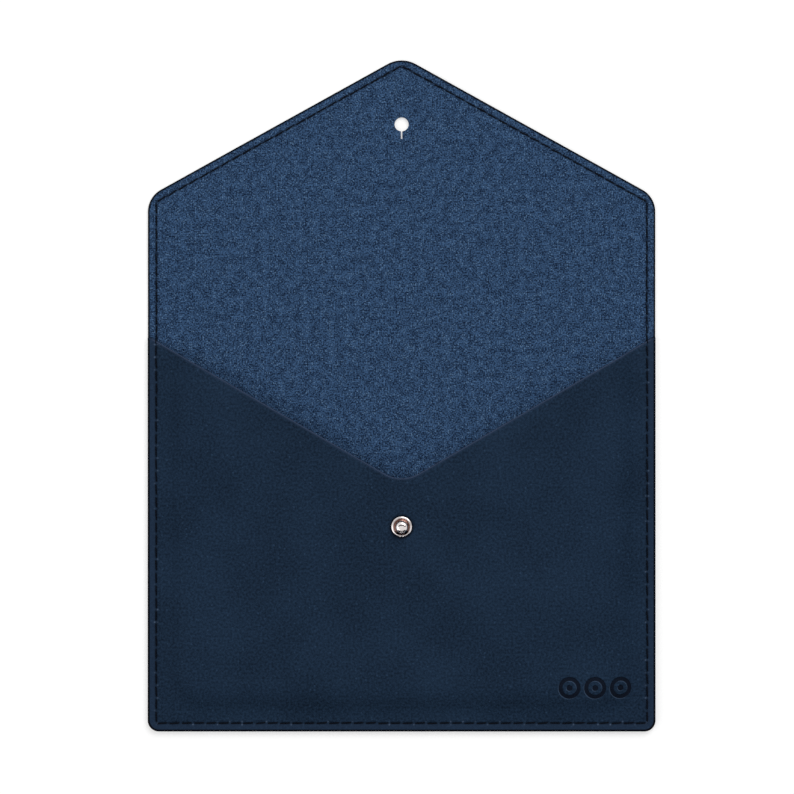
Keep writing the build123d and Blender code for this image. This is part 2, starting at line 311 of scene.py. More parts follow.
def noise(tree, vector, size, detail=2.0, roughness=0.5):
    """Noise whose blotches are about as wide as size."""
    scale = calculate(tree, "DIVIDE", 1.0, size)
    sockets = {"Vector": vector, "Scale": scale, "Detail": detail, "Roughness": roughness}
    return add_node(tree, "TexNoise", sockets).outputs["Fac"]


def spread(tree, value, low, high):
    """A value stretched from low and high to 0 and 1, with soft ends."""
    sockets = {"Value": value, "From Min": low, "From Max": high}
    return add_node(tree, "MapRange", sockets, interpolation_type="SMOOTHSTEP").outputs[0]


mottle, entry, answer = new_group("mottle", ["Cloud Size", "Grain Size", "Grain Share"], "Shade")
clouds = spread(mottle, noise(mottle, entry["Vector"], entry["Cloud Size"]), 0.3, 0.7)
grains = noise(mottle, entry["Vector"], entry["Grain Size"], 3.0, 0.65)
grains = spread(mottle, grains, 0.25, 0.75)
cloud_share = calculate(mottle, "SUBTRACT", 1.0, entry["Grain Share"])
clouds = calculate(mottle, "MULTIPLY", clouds, cloud_share)
shade = calculate(mottle, "MULTIPLY_ADD", grains, entry["Grain Share"], clouds)
mottle.links.new(shade, answer)
print("mottle has", len(mottle.nodes), "nodes")

# %% [markdown]
# Flecks are the sparse pale specks of loose fibre and dust. A Voronoi texture drops one point
# in every cell of a grid. Each becomes a soft dot, and a draw by the cell's own random colour
# decides whether it is kept, so the dots stay sparse and never line up.

# %% Flecks
flecks, entry, answer = new_group("flecks", ["Spacing", "Radius", "Share"], "Mask")
scale = calculate(flecks, "DIVIDE", 1.0, entry["Spacing"])
cells = add_node(flecks, "TexVoronoi", {"Vector": entry["Vector"], "Scale": scale}).outputs
away = calculate(flecks, "MULTIPLY", cells["Distance"], entry["Spacing"])
away = calculate(flecks, "DIVIDE", away, entry["Radius"])
nearness = spread(flecks, calculate(flecks, "SUBTRACT", 1.0, away), 0.0, 0.6)
draw = add_node(flecks, "SeparateColor", {"Color": cells["Color"]}).outputs[0]
chosen = calculate(flecks, "LESS_THAN", draw, entry["Share"])
flecks.links.new(calculate(flecks, "MULTIPLY", nearness, chosen), answer)
print("flecks have", len(flecks.nodes), "nodes")

# %% [markdown]
# Wear is the rubbed, patchy look that builds up along a cut edge. An even line would look
# drawn, so a coarse noise breaks it into patches, and Rim says how near the edge a point is.

# %% Wear
wear, entry, answer = new_group("wear", ["Rim", "Patch Size", "Amount"], "Mask")
patches = spread(wear, noise(wear, entry["Vector"], entry["Patch Size"], 4.0, 0.7), 0.42, 0.68)
rubbed = calculate(wear, "MULTIPLY", patches, entry["Rim"])
wear.links.new(calculate(wear, "MULTIPLY", rubbed, entry["Amount"]), answer)
print("wear has", len(wear.nodes), "nodes")

# %% [markdown]
# The finishes share a few more helpers. Colours are written as a screen shows them and turned
# into light. A finish is laid on in coats: each coat has a mask, a strength and a colour. The
# sheets carry their flat plan as a UV map and their marks as attributes, made further down.


# %% Helpers for finishes
def use_group(tree, group, sockets):
    """Places a shared effect in a material, with that material's own values."""
    return add_node(tree, "Group", sockets, node_tree=group).outputs[0]


def dye(red, green, blue):
    """A colour as a screen shows it, from 0 to 255, turned into the light it reflects."""
    shares = [share / 255 for share in (red, green, blue)]
    light = [s / 12.92 if s < 0.04045 else ((s + 0.055) / 1.055) ** 2.4 for s in shares]
    return (*light, 1.0)


print("a screen's mid grey reflects", round(dye(128, 128, 128)[0], 3))


def mix_colours(tree, share, first, second):
    """First where share is 0, second where it is 1."""
    return add_node(tree, "Mix", {0: share, 6: first, 7: second}, data_type="RGBA").outputs[2]


def coat(tree, colour, mask, strength, over):
    """A colour with another laid over it where the mask is, at this strength."""
    return mix_colours(tree, calculate(tree, "MULTIPLY", mask, strength), colour, over)


def read_mark(tree, name):
    """A number that the sheets store at each of their points."""
    return add_node(tree, "Attribute", attribute_name=name).outputs["Fac"]


def in_millimetres(tree, vector):
    """Coordinates in millimetres, from a vector in metres."""
    scaled = add_node(tree, "VectorMath", {0: vector, "Scale": 1 / mm}, operation="SCALE")
    return scaled.outputs["Vector"]


def from_uv(tree, name):
    """Places on a piece in millimetres, from its UV map."""
    return in_millimetres(tree, add_node(tree, "UVMap", uv_map=name).outputs["UV"])


def from_object(tree):
    """Places in space in millimetres, for a piece that doesn't bend."""
    return in_millimetres(tree, add_node(tree, "TexCoord").outputs["Object"])


def raise_surface(tree, height, depth, below=None):
    """A bumped normal, from a height between 0 and 1 and a depth in metres."""
    sockets = {"Height": height, "Distance": depth, "Strength": 1.0}
    if below:
        sockets["Normal"] = below
    return add_node(tree, "Bump", sockets).outputs["Normal"]


def finish_surface(material, sockets):
    """Gives a material its Principled shader."""
    put_out(material.node_tree, add_node(material.node_tree, "BsdfPrincipled", sockets))
    print(material.name, "has", len(material.node_tree.nodes), "nodes")


# %% [markdown]
# ## Leatherette
# The cover is a soft imitation leather: a woven backing under a thin matt skin that is printed
# dark navy. Where the stamp bites into it, it is darker. The stamp's rings are sunk in the
# mesh further down, and this mask colours the same rings with crisp walls. A painted mask
# could do it, but would blur in a close view.

# %% Stamp
stamp_ring_radius = 4.5 * mm
stamp_ring_width = 1.6 * mm
stamp_dot_radius = 1.2 * mm
stamp_wall = 0.12 * mm
stamp_spacing = 10.5 * mm
x_stamp = half_width - 25.1 * mm
y_stamp = y_closed_end + 18.3 * mm
stamp_places = [(x_stamp + step * stamp_spacing, y_stamp) for step in (-1, 0, 1)]


def stamp_mask(tree, plan):
    """1 where the stamp has sunk the leatherette, 0 elsewhere, with crisp walls."""
    away = None
    for x, y in stamp_places:
        sockets = {0: plan, 1: (x / mm, y / mm, 0)}
        distance = add_node(tree, "VectorMath", sockets, operation="DISTANCE").outputs["Value"]
        away = calculate(tree, "MINIMUM", away, distance) if away else distance
    outer, inner, dot = (
        spread(tree, away, (radius + stamp_wall) / mm, (radius - stamp_wall) / mm)
        for radius in (stamp_ring_radius, stamp_ring_radius - stamp_ring_width, stamp_dot_radius)
    )
    return calculate(tree, "ADD", calculate(tree, "SUBTRACT", outer, inner), dot)


print(f"{len(stamp_places)} rings, each {2 * stamp_ring_radius / mm:.0f} mm across")

# %% [markdown]
# The skin shows the weave below it as a faint mottle, with a pale speck here and there.
# Outside the seam the stock is a little lighter and bluer. Along the thread it is painted
# darker, as the shade in the groove, with a painted contact shadow round the stud's flange. Pale
# painted highlights lie beside the needle holes, and a thin one just outside the stamp's lower
# left walls. The finish is worked out from the sheet's flat plan rather than from places in
# space, so it stays put when the flap folds.

# %% Leatherette finish
# Painted highlight beside the stamp: its mask, moved by this much, leaves a thin light line.
stamp_highlight_shift = (0.22, 0.22, 0)

leatherette, tree = new_material("navy_leatherette")
plan = from_uv(tree, "plan")
skin_grain = {"Vector": plan, "Cloud Size": 30.0, "Grain Size": 0.95, "Grain Share": 0.8}
shade = use_group(tree, mottle, skin_grain)
colour = mix_colours(tree, shade, dye(10, 22, 36), dye(32, 51, 73))
dust = {"Vector": plan, "Spacing": 2.1, "Radius": 0.5, "Share": 0.3}
colour = coat(tree, colour, use_group(tree, flecks, dust), 0.3, dye(52, 76, 104))
# A little lighter and bluer outside the seam.
colour = coat(tree, colour, read_mark(tree, "margin"), 0.5, dye(33, 48, 69))
rim = read_mark(tree, "rim")
worn = use_group(tree, wear, {"Vector": plan, "Rim": rim, "Patch Size": 1.6, "Amount": 0.3})
colour = mix_colours(tree, worn, colour, dye(46, 64, 88))
# Painted highlights beside the needle holes, where their dimples would catch the light.
colour = coat(tree, colour, read_mark(tree, "hole_highlight"), 0.75, dye(98, 116, 142))
# Painted shade: darker along the thread for the groove's shade, and round the stud's flange for
# its contact shadow.
colour = coat(tree, colour, read_mark(tree, "painted_shade"), 0.9, dye(5, 8, 17))
stamp = stamp_mask(tree, plan)
colour = coat(tree, colour, stamp, 0.88, dye(9, 13, 24))
# Painted highlight: a thin light line just outside the rings' lower left walls, where they would
# catch the light.
beside = add_node(tree, "VectorMath", {0: plan, 1: stamp_highlight_shift}, operation="ADD")
stamp_highlight = calculate(tree, "SUBTRACT", stamp_mask(tree, beside.outputs["Vector"]), stamp)
colour = coat(tree, colour, stamp_highlight, 0.55, dye(66, 84, 108))
colour = mix_colours(tree, spread(tree, rim, 0.25, 0.75), colour, dye(2, 3, 8))
# The mouth's lip: rubbed paler by handling, and a painted highlight where its cut edge catches
# the light.
colour = coat(tree, colour, read_mark(tree, "lip"), 0.5, dye(44, 58, 82))

weave = add_node(tree, "TexVoronoi", {"Vector": plan, "Scale": 1.7}).outputs["Distance"]
pores = noise(tree, plan, 0.3, 3.0, 0.6)
normal = raise_surface(tree, calculate(tree, "MULTIPLY_ADD", weave, 0.6, pores), 0.035 * mm)
unpressed = calculate(tree, "SUBTRACT", 1.0, stamp)
skin = {
    "Base Color": colour,
    "Roughness": between(tree, pores, 0.5, 0.72),
    "Specular IOR Level": 0.04,
    "Normal": raise_surface(tree, unpressed, 0.12 * mm, normal),
}
finish_surface(leatherette, skin)

# %% [markdown]
# ## Brushed lining
# The inside is a napped cloth in a lighter blue. Brushing lifts its fibres in small tufts
# that catch the light or shade each other, so it looks like denim: strong light and dark
# grains a little under a millimetre across, and pale specks where a fibre end stands up. A
# true nap would need millions of hairs. At this size the eye sees only the grains, so they
# are colour and bump, with a little sheen for the fibres at a low angle.

# %% Lining finish
brushed_lining, tree = new_material("brushed_lining")
plan = from_uv(tree, "plan")
tufts = {"Vector": plan, "Cloud Size": 3.4, "Grain Size": 0.62, "Grain Share": 0.83}
shade = spread(tree, use_group(tree, mottle, tufts), 0.16, 0.84)
colour = mix_colours(tree, shade, dye(9, 23, 45), dye(60, 89, 125))
fibre_ends = {"Vector": plan, "Spacing": 0.8, "Radius": 0.34, "Share": 0.3}
colour = coat(tree, colour, use_group(tree, flecks, fibre_ends), 0.6, dye(104, 136, 170))
rim = read_mark(tree, "rim")
worn = use_group(tree, wear, {"Vector": plan, "Rim": rim, "Patch Size": 1.2, "Amount": 0.5})
colour = mix_colours(tree, worn, colour, dye(20, 34, 56))
# Painted shade along the thread, for the groove's shade.
colour = coat(tree, colour, read_mark(tree, "painted_shade"), 0.92, dye(7, 12, 24))
colour = mix_colours(tree, spread(tree, rim, 0.4, 0.9), colour, dye(5, 10, 22))

nap = noise(tree, plan, 0.28, 4.0, 0.7)
cloth = {
    "Base Color": colour,
    "Roughness": 0.9,
    "Specular IOR Level": 0.04,
    "Sheen Weight": 0.08,
    "Sheen Roughness": 0.5,
    "Normal": raise_surface(tree, calculate(tree, "ADD", shade, nap), 0.09 * mm),
}
finish_surface(brushed_lining, cloth)

# %% [markdown]
# ## Thread, edge paint and metal
# The thread is a waxed cord of two twisted plies. A texture laid flat would run across the
# stitches, so its bands are drawn on a UV map that runs along the thread and around it.

# %% Thread finish
twist_pitch = 0.9
twist_slant = 1.3

waxed_thread, tree = new_material("waxed_thread")
wrap = from_uv(tree, "wrap")
parts = add_node(tree, "SeparateXYZ", {"Vector": wrap}).outputs
slant = calculate(tree, "MULTIPLY_ADD", parts["Y"], twist_slant, parts["X"])
wave = calculate(tree, "SINE", calculate(tree, "MULTIPLY", slant, 2 * pi / twist_pitch))
ply = spread(tree, wave, -1.0, 1.0)
fuzz = noise(tree, wrap, 0.12, 3.0, 0.7)
colour = mix_colours(tree, ply, dye(2, 3, 8), dye(10, 15, 26))
colour = coat(tree, colour, spread(tree, fuzz, 0.62, 0.8), 0.4, dye(44, 60, 82))
height = calculate(tree, "MULTIPLY_ADD", fuzz, 0.3, ply)
strand = {
    "Base Color": colour,
    "Roughness": 0.6,
    "Specular IOR Level": 0.05,
    "Normal": raise_surface(tree, height, 0.06 * mm),
}
finish_surface(waxed_thread, strand)

# %% [markdown]
# The cut edges are sealed with two coats of nearly black paint, which dries uneven. Along the
# mouth, where the holder is handled most, it is rubbed thin and the navy shows through, and it
# is painted lighter as a highlight where the edge catches the light. One flat black would look
# like a drawn line, so mottle, wear and roughness all vary along it.

# %% Edge paint finish
edge_paint, tree = new_material("edge_paint")
place = from_object(tree)
uneven = {"Vector": place, "Cloud Size": 6.0, "Grain Size": 0.4, "Grain Share": 0.5}
shade = use_group(tree, mottle, uneven)
colour = mix_colours(tree, shade, dye(1, 2, 6), dye(6, 9, 17))
rubbed = use_group(tree, wear, {"Vector": place, "Rim": 1.0, "Patch Size": 2.5, "Amount": 0.2})
colour = mix_colours(tree, rubbed, colour, dye(40, 56, 78))
# Along the mouth: paint rubbed thin, and a painted highlight where the edge catches the light.
rubbed_and_lit = spread(tree, shade, -0.5, 0.5)
colour = coat(tree, colour, read_mark(tree, "lip"), rubbed_and_lit, dye(54, 66, 88))
paint = {
    "Base Color": colour,
    "Roughness": between(tree, shade, 0.5, 0.75),
    "Specular IOR Level": 0.01,
    "Normal": raise_surface(tree, shade, 0.03 * mm),
}
finish_surface(edge_paint, paint)

# %% [markdown]
# The stud and its screw are nickel plated, bright but finely scratched from handling. The dish
# round the ball is painted a dark warm brown, as painted shade and dark reflection under the
# ball, by its distance from the stud's axis and its height.

# %% Metal finish
scratch_stretch = (9.0, 0.8, 0.8)
dish_radii = (3.5, 3.25)
dish_heights = (crown_top / mm, 8.75)

polished_nickel, tree = new_material("polished_nickel")
place = from_object(tree)
stretched = add_node(tree, "Mapping", {"Vector": place, "Scale": scratch_stretch})
scratches = noise(tree, stretched.outputs["Vector"], 1.0, 4.0, 0.7)
scratches = spread(tree, scratches, 0.45, 0.75)
haze = noise(tree, place, 1.5, 2.0)
colour = mix_colours(tree, haze, dye(232, 228, 228), dye(212, 202, 200))
# Painted shade and reflection: a dark brown ring in the dish under the ball.
parts = add_node(tree, "SeparateXYZ", {"Vector": place}).outputs
beside = calculate(tree, "SUBTRACT", parts["Y"], y_stud / mm)
flat = add_node(tree, "CombineXYZ", {"X": parts["X"], "Y": beside})
radius = add_node(tree, "VectorMath", {0: flat.outputs[0]}, operation="LENGTH")
dish_shade = spread(tree, radius.outputs["Value"], *dish_radii)
above = calculate(tree, "GREATER_THAN", parts["Z"], dish_heights[0])
below = calculate(tree, "LESS_THAN", parts["Z"], dish_heights[1])
dish_shade = calculate(tree, "MULTIPLY", dish_shade, calculate(tree, "MULTIPLY", below, above))
metal = {
    "Base Color": coat(tree, colour, dish_shade, 0.95, dye(94, 60, 48)),
    "Metallic": 1.0,
    "Roughness": calculate(tree, "MULTIPLY_ADD", scratches, 0.12, 0.06),
    "Normal": raise_surface(tree, scratches, 0.002 * mm),
}
finish_surface(polished_nickel, metal)

# %% [markdown]
# ## Where the seam runs
# The seam follows the edge at one inset. It goes up a side, over the front's cut edge, across
# the fold and round the flap. The same runs place the valley in the sheets, the dimples at
# the needle holes and the thread, so the three can't drift apart.

# %% Seam runs
seam_inset = 3.5 * mm
stitch_pitch = 5.1 * mm
mouth_inset = 1.5 * mm
x_seam = half_width - seam_inset
y_seam_bottom = y_closed_end + seam_inset
y_mouth_edge = y_mouth_corner - seam_inset * tan(mouth_slope)
y_last_front_hole = y_mouth_edge - mouth_inset
y_seam_point = y_flap_point - seam_inset / cos(flap_slope)
y_seam_shoulder = y_seam_point - x_seam * tan(flap_slope)


def runs_through(*places):
    """The straight runs from place to place."""
    return list(zip(places, places[1:]))


def side_runs(y_start, y_end):
    """A run up each side seam."""
    return [((side * x_seam, y_start), (side * x_seam, y_end)) for side in (-1, 1)]


front_runs = runs_through(
    (-x_seam, y_last_front_hole),
    (-x_seam, y_seam_bottom),
    (x_seam, y_seam_bottom),
    (x_seam, y_last_front_hole),
)
over_edge_runs = side_runs(y_last_front_hole, y_crease)
fold_runs = side_runs(y_crease, y_split)
front_seam = front_runs + over_edge_runs
pocket_seam = front_seam + fold_runs
flap_seam = side_runs(y_split, y_flap) + runs_through(
    (-x_seam, y_flap),
    (-x_seam, y_seam_shoulder),
    (0, y_seam_point),
    (x_seam, y_seam_shoulder),
    (x_seam, y_flap),
)
print(len(pocket_seam), "runs round the pocket and", len(flap_seam), "round the flap")


# %% Needle holes
def stitches_in(run):
    """How many stitches fill a run at about the seam's pitch."""
    (x0, y0), (x1, y1) = run
    return max(1, round(hypot(x1 - x0, y1 - y0) / stitch_pitch))


def needle_holes(runs):
    """The places of the needle holes along the runs."""
    holes = set()
    for run in runs:
        (x0, y0), (x1, y1) = run
        count = stitches_in(run)
        for step in range(count + 1):
            x = x0 + (x1 - x0) * step / count
            y = y0 + (y1 - y0) * step / count
            holes.add((round(x, 7), round(y, 7)))
    return sorted(holes)


print("needle holes:", len(needle_holes(pocket_seam + flap_seam)))
print("stitches:", sum(stitches_in(run) for run in pocket_seam + flap_seam))

# %% [markdown]
# ## Cutting the sheets
# A sheet starts as a flat grid of 2 mm squares, laid so that each side seam runs down the
# middle of a column. Where something small happens, by the edge, the seam, the slope of the
# front, the stamp or the stud, the squares are halved once, twice or three times, and the
# rest stays coarse. One fine grid all over would be simpler, and several times as heavy.

# %% Grid
cells_between_seams = 101
cell = 2 * x_seam / cells_between_seams
cells_outside = 2
y_grid_start = y_seam_bottom - 2.5 * cell


def make_active(piece):
    """Selects one piece, and nothing else, and makes it the active one."""
    bpy.ops.object.select_all(action="DESELECT")
    piece.select_set(True)
    bpy.context.view_layer.objects.active = piece


def lay_grid(name, y_start, y_end):
    """A flat grid of square cells over the holder's width, from y_start past y_end."""
    columns = cells_between_seams + 1 + 2 * cells_outside
    rows = ceil((y_end - y_start) / cell)
    bpy.ops.object.select_all(action="DESELECT")
    bpy.ops.mesh.primitive_grid_add(x_subdivisions=columns, y_subdivisions=rows, size=1)
    piece = bpy.context.object
    piece.name = name
    piece.location.y = y_start + rows * cell / 2
    piece.scale = (columns * cell, rows * cell, 1)
    bpy.ops.object.transform_apply(location=True, rotation=False, scale=True)
    return piece


print(f"cells of {cell / mm:.2f} mm")


# %% Halving cells
def face_plan(piece):
    """The x and y of every face's middle."""
    centres = np.empty(3 * len(piece.data.polygons))
    piece.data.polygons.foreach_get("center", centres)
    return centres[0::3], centres[1::3]


@contextmanager
def editing(piece, chosen=None):
    """Edit mode with the chosen faces selected, or all of them, and object mode after it."""
    make_active(piece)
    bpy.context.tool_settings.mesh_select_mode = (False, False, True)
    mesh = piece.data
    mesh.vertices.foreach_set("select", np.zeros(len(mesh.vertices), bool))
    mesh.edges.foreach_set("select", np.zeros(len(mesh.edges), bool))
    if chosen is None:
        chosen = np.ones(len(mesh.polygons), bool)
    mesh.polygons.foreach_set("select", chosen)
    bpy.ops.object.mode_set(mode="EDIT")
    yield
    bpy.ops.object.mode_set(mode="OBJECT")


def halve_cells(piece, chosen):
    """Divides the chosen cells in two each way."""
    with editing(piece, chosen):
        bpy.ops.mesh.subdivide(number_cuts=1, ngon=True)


def distance_to_runs(x, y, runs):
    """How far points lie from the nearest run."""
    nearest = np.full(len(x), 1.0)
    for (x0, y0), (x1, y1) in runs:
        dx, dy = x1 - x0, y1 - y0
        share = np.clip(((x - x0) * dx + (y - y0) * dy) / (dx * dx + dy * dy), 0, 1)
        nearest = np.minimum(nearest, np.hypot(x - x0 - share * dx, y - y0 - share * dy))
    return nearest


print(f"a cell halved three times is {cell / 8 / mm:.2f} mm wide")

# %% [markdown]
# An outline is a list of corners with a radius each. Going round anticlockwise, the way out
# is always on the right, so one function can round every corner, also the hollow one at the
# bottom of the mouth, and give each point its way out. Moving the points in along it makes
# room for the painted edge. The back sheet is one piece on the real holder. It is cut in two
# in the middle of its fold, because a piece here bends at one crease only, so both outlines
# run on a little past that line before the cut.

# %% Round corners
corner_steps = 12


def round_corners(corners):
    """An anticlockwise outline from (x, y, radius) corners: its points and their ways out."""
    points, ways = [], []
    befores = corners[-1:] + corners[:-1]
    afters = corners[1:] + corners[:1]
    for before, (x, y, radius), after in zip(befores, corners, afters):
        here = Vector((x, y))
        arriving = (here - Vector(before[:2])).normalized()
        leaving = (Vector(after[:2]) - here).normalized()
        first = Vector((arriving.y, -arriving.x))
        last = Vector((leaving.y, -leaving.x))
        turn = atan2(arriving.cross(leaving), arriving.dot(leaving))
        side = 1 if turn > 0 else -1
        centre = here - side * radius * (first + last) / (1 + first.dot(last))
        for step in range(corner_steps + 1):
            angle = atan2(first.y, first.x) + turn * step / corner_steps
            way = Vector((cos(angle), sin(angle)))
            points.append(centre + side * radius * way)
            ways.append(way)
    return points, ways


print("each corner has", corner_steps + 1, "points")

# %% Outlines
past_split = 3 * mm
spare_corner_radius = mm
mouth_corner_radius = 0.5 * mm


def pocket_outline(*top):
    """The closed end's two corners, then those at the other end."""
    left = (-half_width, y_closed_end, bottom_radius)
    return round_corners([left, (half_width, y_closed_end, bottom_radius), *top])


def across(y, radius, side=1):
    """Two corners at one height, a pair that crosses the whole width."""
    return (side * half_width, y, radius), (-side * half_width, y, radius)


mouth_right, mouth_left = across(y_mouth_corner, mouth_corner_radius)
shoulder_right, shoulder_left = across(y_shoulder, shoulder_radius)
back_outline = pocket_outline(*across(y_split + past_split, spare_corner_radius))
front_outline = pocket_outline(mouth_right, (0, y_mouth_point, mouth_radius), mouth_left)
flap_outline = round_corners(
    [
        *across(y_split - past_split, spare_corner_radius, side=-1),
        shoulder_right,
        (0, y_flap_point, tip_radius),
        shoulder_left,
    ]
)


def move_in(outline, distance):
    """An outline's points, moved inwards."""
    return [point - distance * way for point, way in zip(*outline)]


def sides_of(points):
    """The sides of a closed line: each point with the next."""
    return list(zip(points, points[1:] + points[:1]))


def outline_runs(outline):
    """The runs round an outline."""
    return sides_of([tuple(point) for point in outline[0]])


outlines = {"back": back_outline, "front": front_outline, "flap": flap_outline}
print("points round each:", {name: len(outline[0]) for name, outline in outlines.items()})

# %% [markdown]
# The grid is cut to its outline with straight bisecting cuts, short ones round the corners,
# just as a knife would go round a template. A Boolean cutter would do it too, but on fine
# grids it is slow and leaves slivers. The same cut, with nothing cleared away, draws the
# close rows of lines that let a crease bend softly.

# %% Cuts
edge_reach = 0.45 * mm
sheet_inset = edge_reach - 0.05 * mm
snap = 0.005 * mm
merge_reach = 0.01 * mm
bend_reach = 1.8 * mm
bend_steps = 6
far = 1


def cut_piece(piece, start, end, chosen=None, clear=True, fill=False):
    """Bisects a piece, or its chosen faces, along a line in plan, and clears its right side."""
    way_out = Vector((end[1] - start[1], start[0] - end[0], 0)).normalized()
    with editing(piece, chosen):
        bpy.ops.mesh.bisect(
            plane_co=(start[0], start[1], 0),
            plane_no=way_out,
            clear_outer=clear,
            use_fill=fill,
            threshold=snap,
        )


def cut_round(piece, outline):
    """Cuts a sheet to an outline that is nowhere hollow, less the room for its paint."""
    for start, end in sides_of(move_in(outline, sheet_inset)):
        cut_piece(piece, start, end)


def tidy_cuts(piece):
    """Merges what the cuts left closer together than a hundredth of a millimetre."""
    with editing(piece):
        bpy.ops.mesh.remove_doubles(threshold=merge_reach)
    print(piece.name, "has", len(piece.data.polygons), "faces")


def line_creases(piece, y_bend):
    """Rows of straight lines over the width of a crease, for the piece to bend at."""
    for step in range(-bend_steps, bend_steps + 1):
        y = y_bend + bend_reach * step / bend_steps
        cut_piece(piece, (far, y), (-far, y), clear=False)


print(f"the sheets stop {sheet_inset / mm:.1f} mm inside the outline")

# %% [markdown]
# The two blanks of the back sheet come first. Their margins and seams are halved where they
# will be seen, round the flap's hole too, and each gets the lines of its crease.

# %% Back and flap blanks
margin_width = seam_inset + 1.6 * mm
seam_zone = 0.75 * mm
hole_zones = (11 * mm, 9 * mm)
back_edges = [run for run in outline_runs(back_outline) if min(run[0][1], run[1][1]) < y_split]
flap_edges = [run for run in outline_runs(flap_outline) if max(run[0][1], run[1][1]) > y_split]


def halve_margin(piece, edges, seam):
    """Finer cells from the edge to past the seam, and finer still along the seam."""
    for reach in (margin_width, margin_width - cell / 2):
        halve_cells(piece, distance_to_runs(*face_plan(piece), edges) < reach)
    halve_cells(piece, distance_to_runs(*face_plan(piece), seam) < seam_zone)


back_blank = lay_grid("back_blank", y_grid_start, y_split)
halve_margin(back_blank, back_edges, pocket_seam)
line_creases(back_blank, y_crease)
cut_round(back_blank, back_outline)
cut_piece(back_blank, (half_width, y_split), (-half_width, y_split))
tidy_cuts(back_blank)

flap_blank = lay_grid("flap_blank", y_split - cell / 2, y_tip)
halve_margin(flap_blank, flap_edges, flap_seam)
for zone in hole_zones:
    x, y = face_plan(flap_blank)
    halve_cells(flap_blank, np.hypot(x, y - y_hole) < zone)
line_creases(flap_blank, y_flap)
cut_round(flap_blank, flap_outline)
cut_piece(flap_blank, (-half_width, y_split), (half_width, y_split))
tidy_cuts(flap_blank)

# %% [markdown]
# The front's blank needs fine cells in more places: its margin and seam, the lip of its
# mouth, the stamp, the stud, and the slope where it rises from its flat rim to its middle.

# %% Zones of the front
rim_width = 1.8 * mm
flat_edge = 4.6 * mm
slope_run = 15 * mm
foot_radius = slope_run + 6 * mm
stamp_zone = stamp_ring_radius + 3 * mm
stud_zone = 9 * mm
slope_margin = mm
front_edges = outline_runs(front_outline)
first_mouth_run = 2 * (corner_steps + 1) + 1
side_edges = front_edges[:first_mouth_run] + front_edges[-1:]
mouth_edges = front_edges[first_mouth_run:-1]


def from_stamp(x, y):
    """How far points lie from the middle of the nearest stamped ring."""
    return np.min([np.hypot(x - cx, y - cy) for cx, cy in stamp_places], axis=0)


def inside_foot(x, y):
    """How far points lie inside the line where the front starts to rise."""
    from_side = half_width - flat_edge - np.abs(x)
    from_end = y - y_closed_end - flat_edge
    corner = (from_side < foot_radius) & (from_end < foot_radius)
    round_corner = foot_radius - np.hypot(foot_radius - from_side, foot_radius - from_end)
    return np.where(corner, round_corner, np.minimum(from_side, from_end))


front_blank = lay_grid("front_blank", y_grid_start, y_mouth_corner)
for halving in range(3):
    x, y = face_plan(front_blank)
    margin = distance_to_runs(x, y, side_edges) < margin_width - halving * cell / 4
    by_mouth = distance_to_runs(x, y, mouth_edges) < rim_width
    by_stamp = from_stamp(x, y) < stamp_zone - halving * mm
    by_stud = np.hypot(x, y - y_stud) < stud_zone - halving * mm
    inside = inside_foot(x, y)
    rising = (inside > -slope_margin) & (inside < slope_run + slope_margin)
    by_seam = distance_to_runs(x, y, front_seam) < seam_zone
    detail = margin | by_mouth | by_stamp | by_stud
    halve_cells(front_blank, (detail | rising, detail, by_seam | by_stamp)[halving])
print(front_blank.name, "has", len(front_blank.data.polygons), "cells")

# %% [markdown]
# The front's mouth is hollow, so it can't be cut straight through. The sides are cut first.
# The mouth's round bottom is then divided into narrow columns. Each column is cut along its
# own short piece of the outline, and the long slopes are cut beside them.

# %% Front blank
cut_round(front_blank, pocket_outline(*across(y_flap, spare_corner_radius)))
points_a_corner = corner_steps + 1
mouth_arc = move_in(front_outline, sheet_inset)[3 * points_a_corner : 4 * points_a_corner]
uphill = 2 * half_width * Vector((cos(mouth_slope), sin(mouth_slope)))
mouth_start = mouth_arc[0] + uphill
mouth_end = mouth_arc[-1] + Vector((-uphill.x, uphill.y))
y_mouth_low = min(point.y for point in mouth_arc)
for point in mouth_arc:
    x, y = face_plan(front_blank)
    column = (np.abs(x - point.x) < cell) & (y > y_mouth_low - cell)
    cut_piece(front_blank, point, (point.x, point.y + far), column, clear=False)
mouth_line = [mouth_start, *mouth_arc, mouth_end]
for start, end in zip(mouth_line, mouth_line[1:]):
    x, y = face_plan(front_blank)
    column = (x < start.x) & (x > end.x) & (y > y_mouth_low - cell)
    cut_piece(front_blank, start, end, column)
tidy_cuts(front_blank)

# %% [markdown]
# ## Shaping the sheets
# Real leatherette is never flat. The thread draws it into a shallow valley, and bites a
# groove along it and a dimple at every needle hole. The stamp leaves sunk rings with soft
# walls, the stud sits in a dent of its own, and the front swells from its flat rim to a
# raised middle with slow waves in it. Each of these is a height worked out from a point's
# place, added to both faces of the slab or to its outer face only. Sculpting could do it by
# hand, but not evenly over 170 stitches.

# %% Heights along the seam
valley_depth = 0.14 * mm
valley_reach = 1.2 * mm
groove_depth = 0.2 * mm
groove_reach = 0.34 * mm
bridge_reach = 0.6 * mm
dimple_depth = 0.1 * mm
dimple_reach = 0.3 * mm


def bell(distance, reach):
    """A soft bump: 1 at no distance, and next to nothing past twice the reach."""
    return np.exp(-((distance / reach) ** 2))


def distance_to_points(x, y, places):
    """How far points lie from the nearest of some places."""
    nearest = np.full(len(x), 1.0)
    for px, py in places:
        nearest = np.minimum(nearest, np.hypot(x - px, y - py))
    return nearest


def drawn_in(x, y, seam):
    """How deep the thread draws the surface in."""
    along = distance_to_runs(x, y, seam)
    at_hole = distance_to_points(x, y, needle_holes(seam))
    valley = valley_depth * bell(along, valley_reach)
    bridge = bell(at_hole, bridge_reach)
    groove = groove_depth * bell(along, groove_reach) * (1 - bridge)
    return valley + groove + dimple_depth * bell(at_hole, dimple_reach)


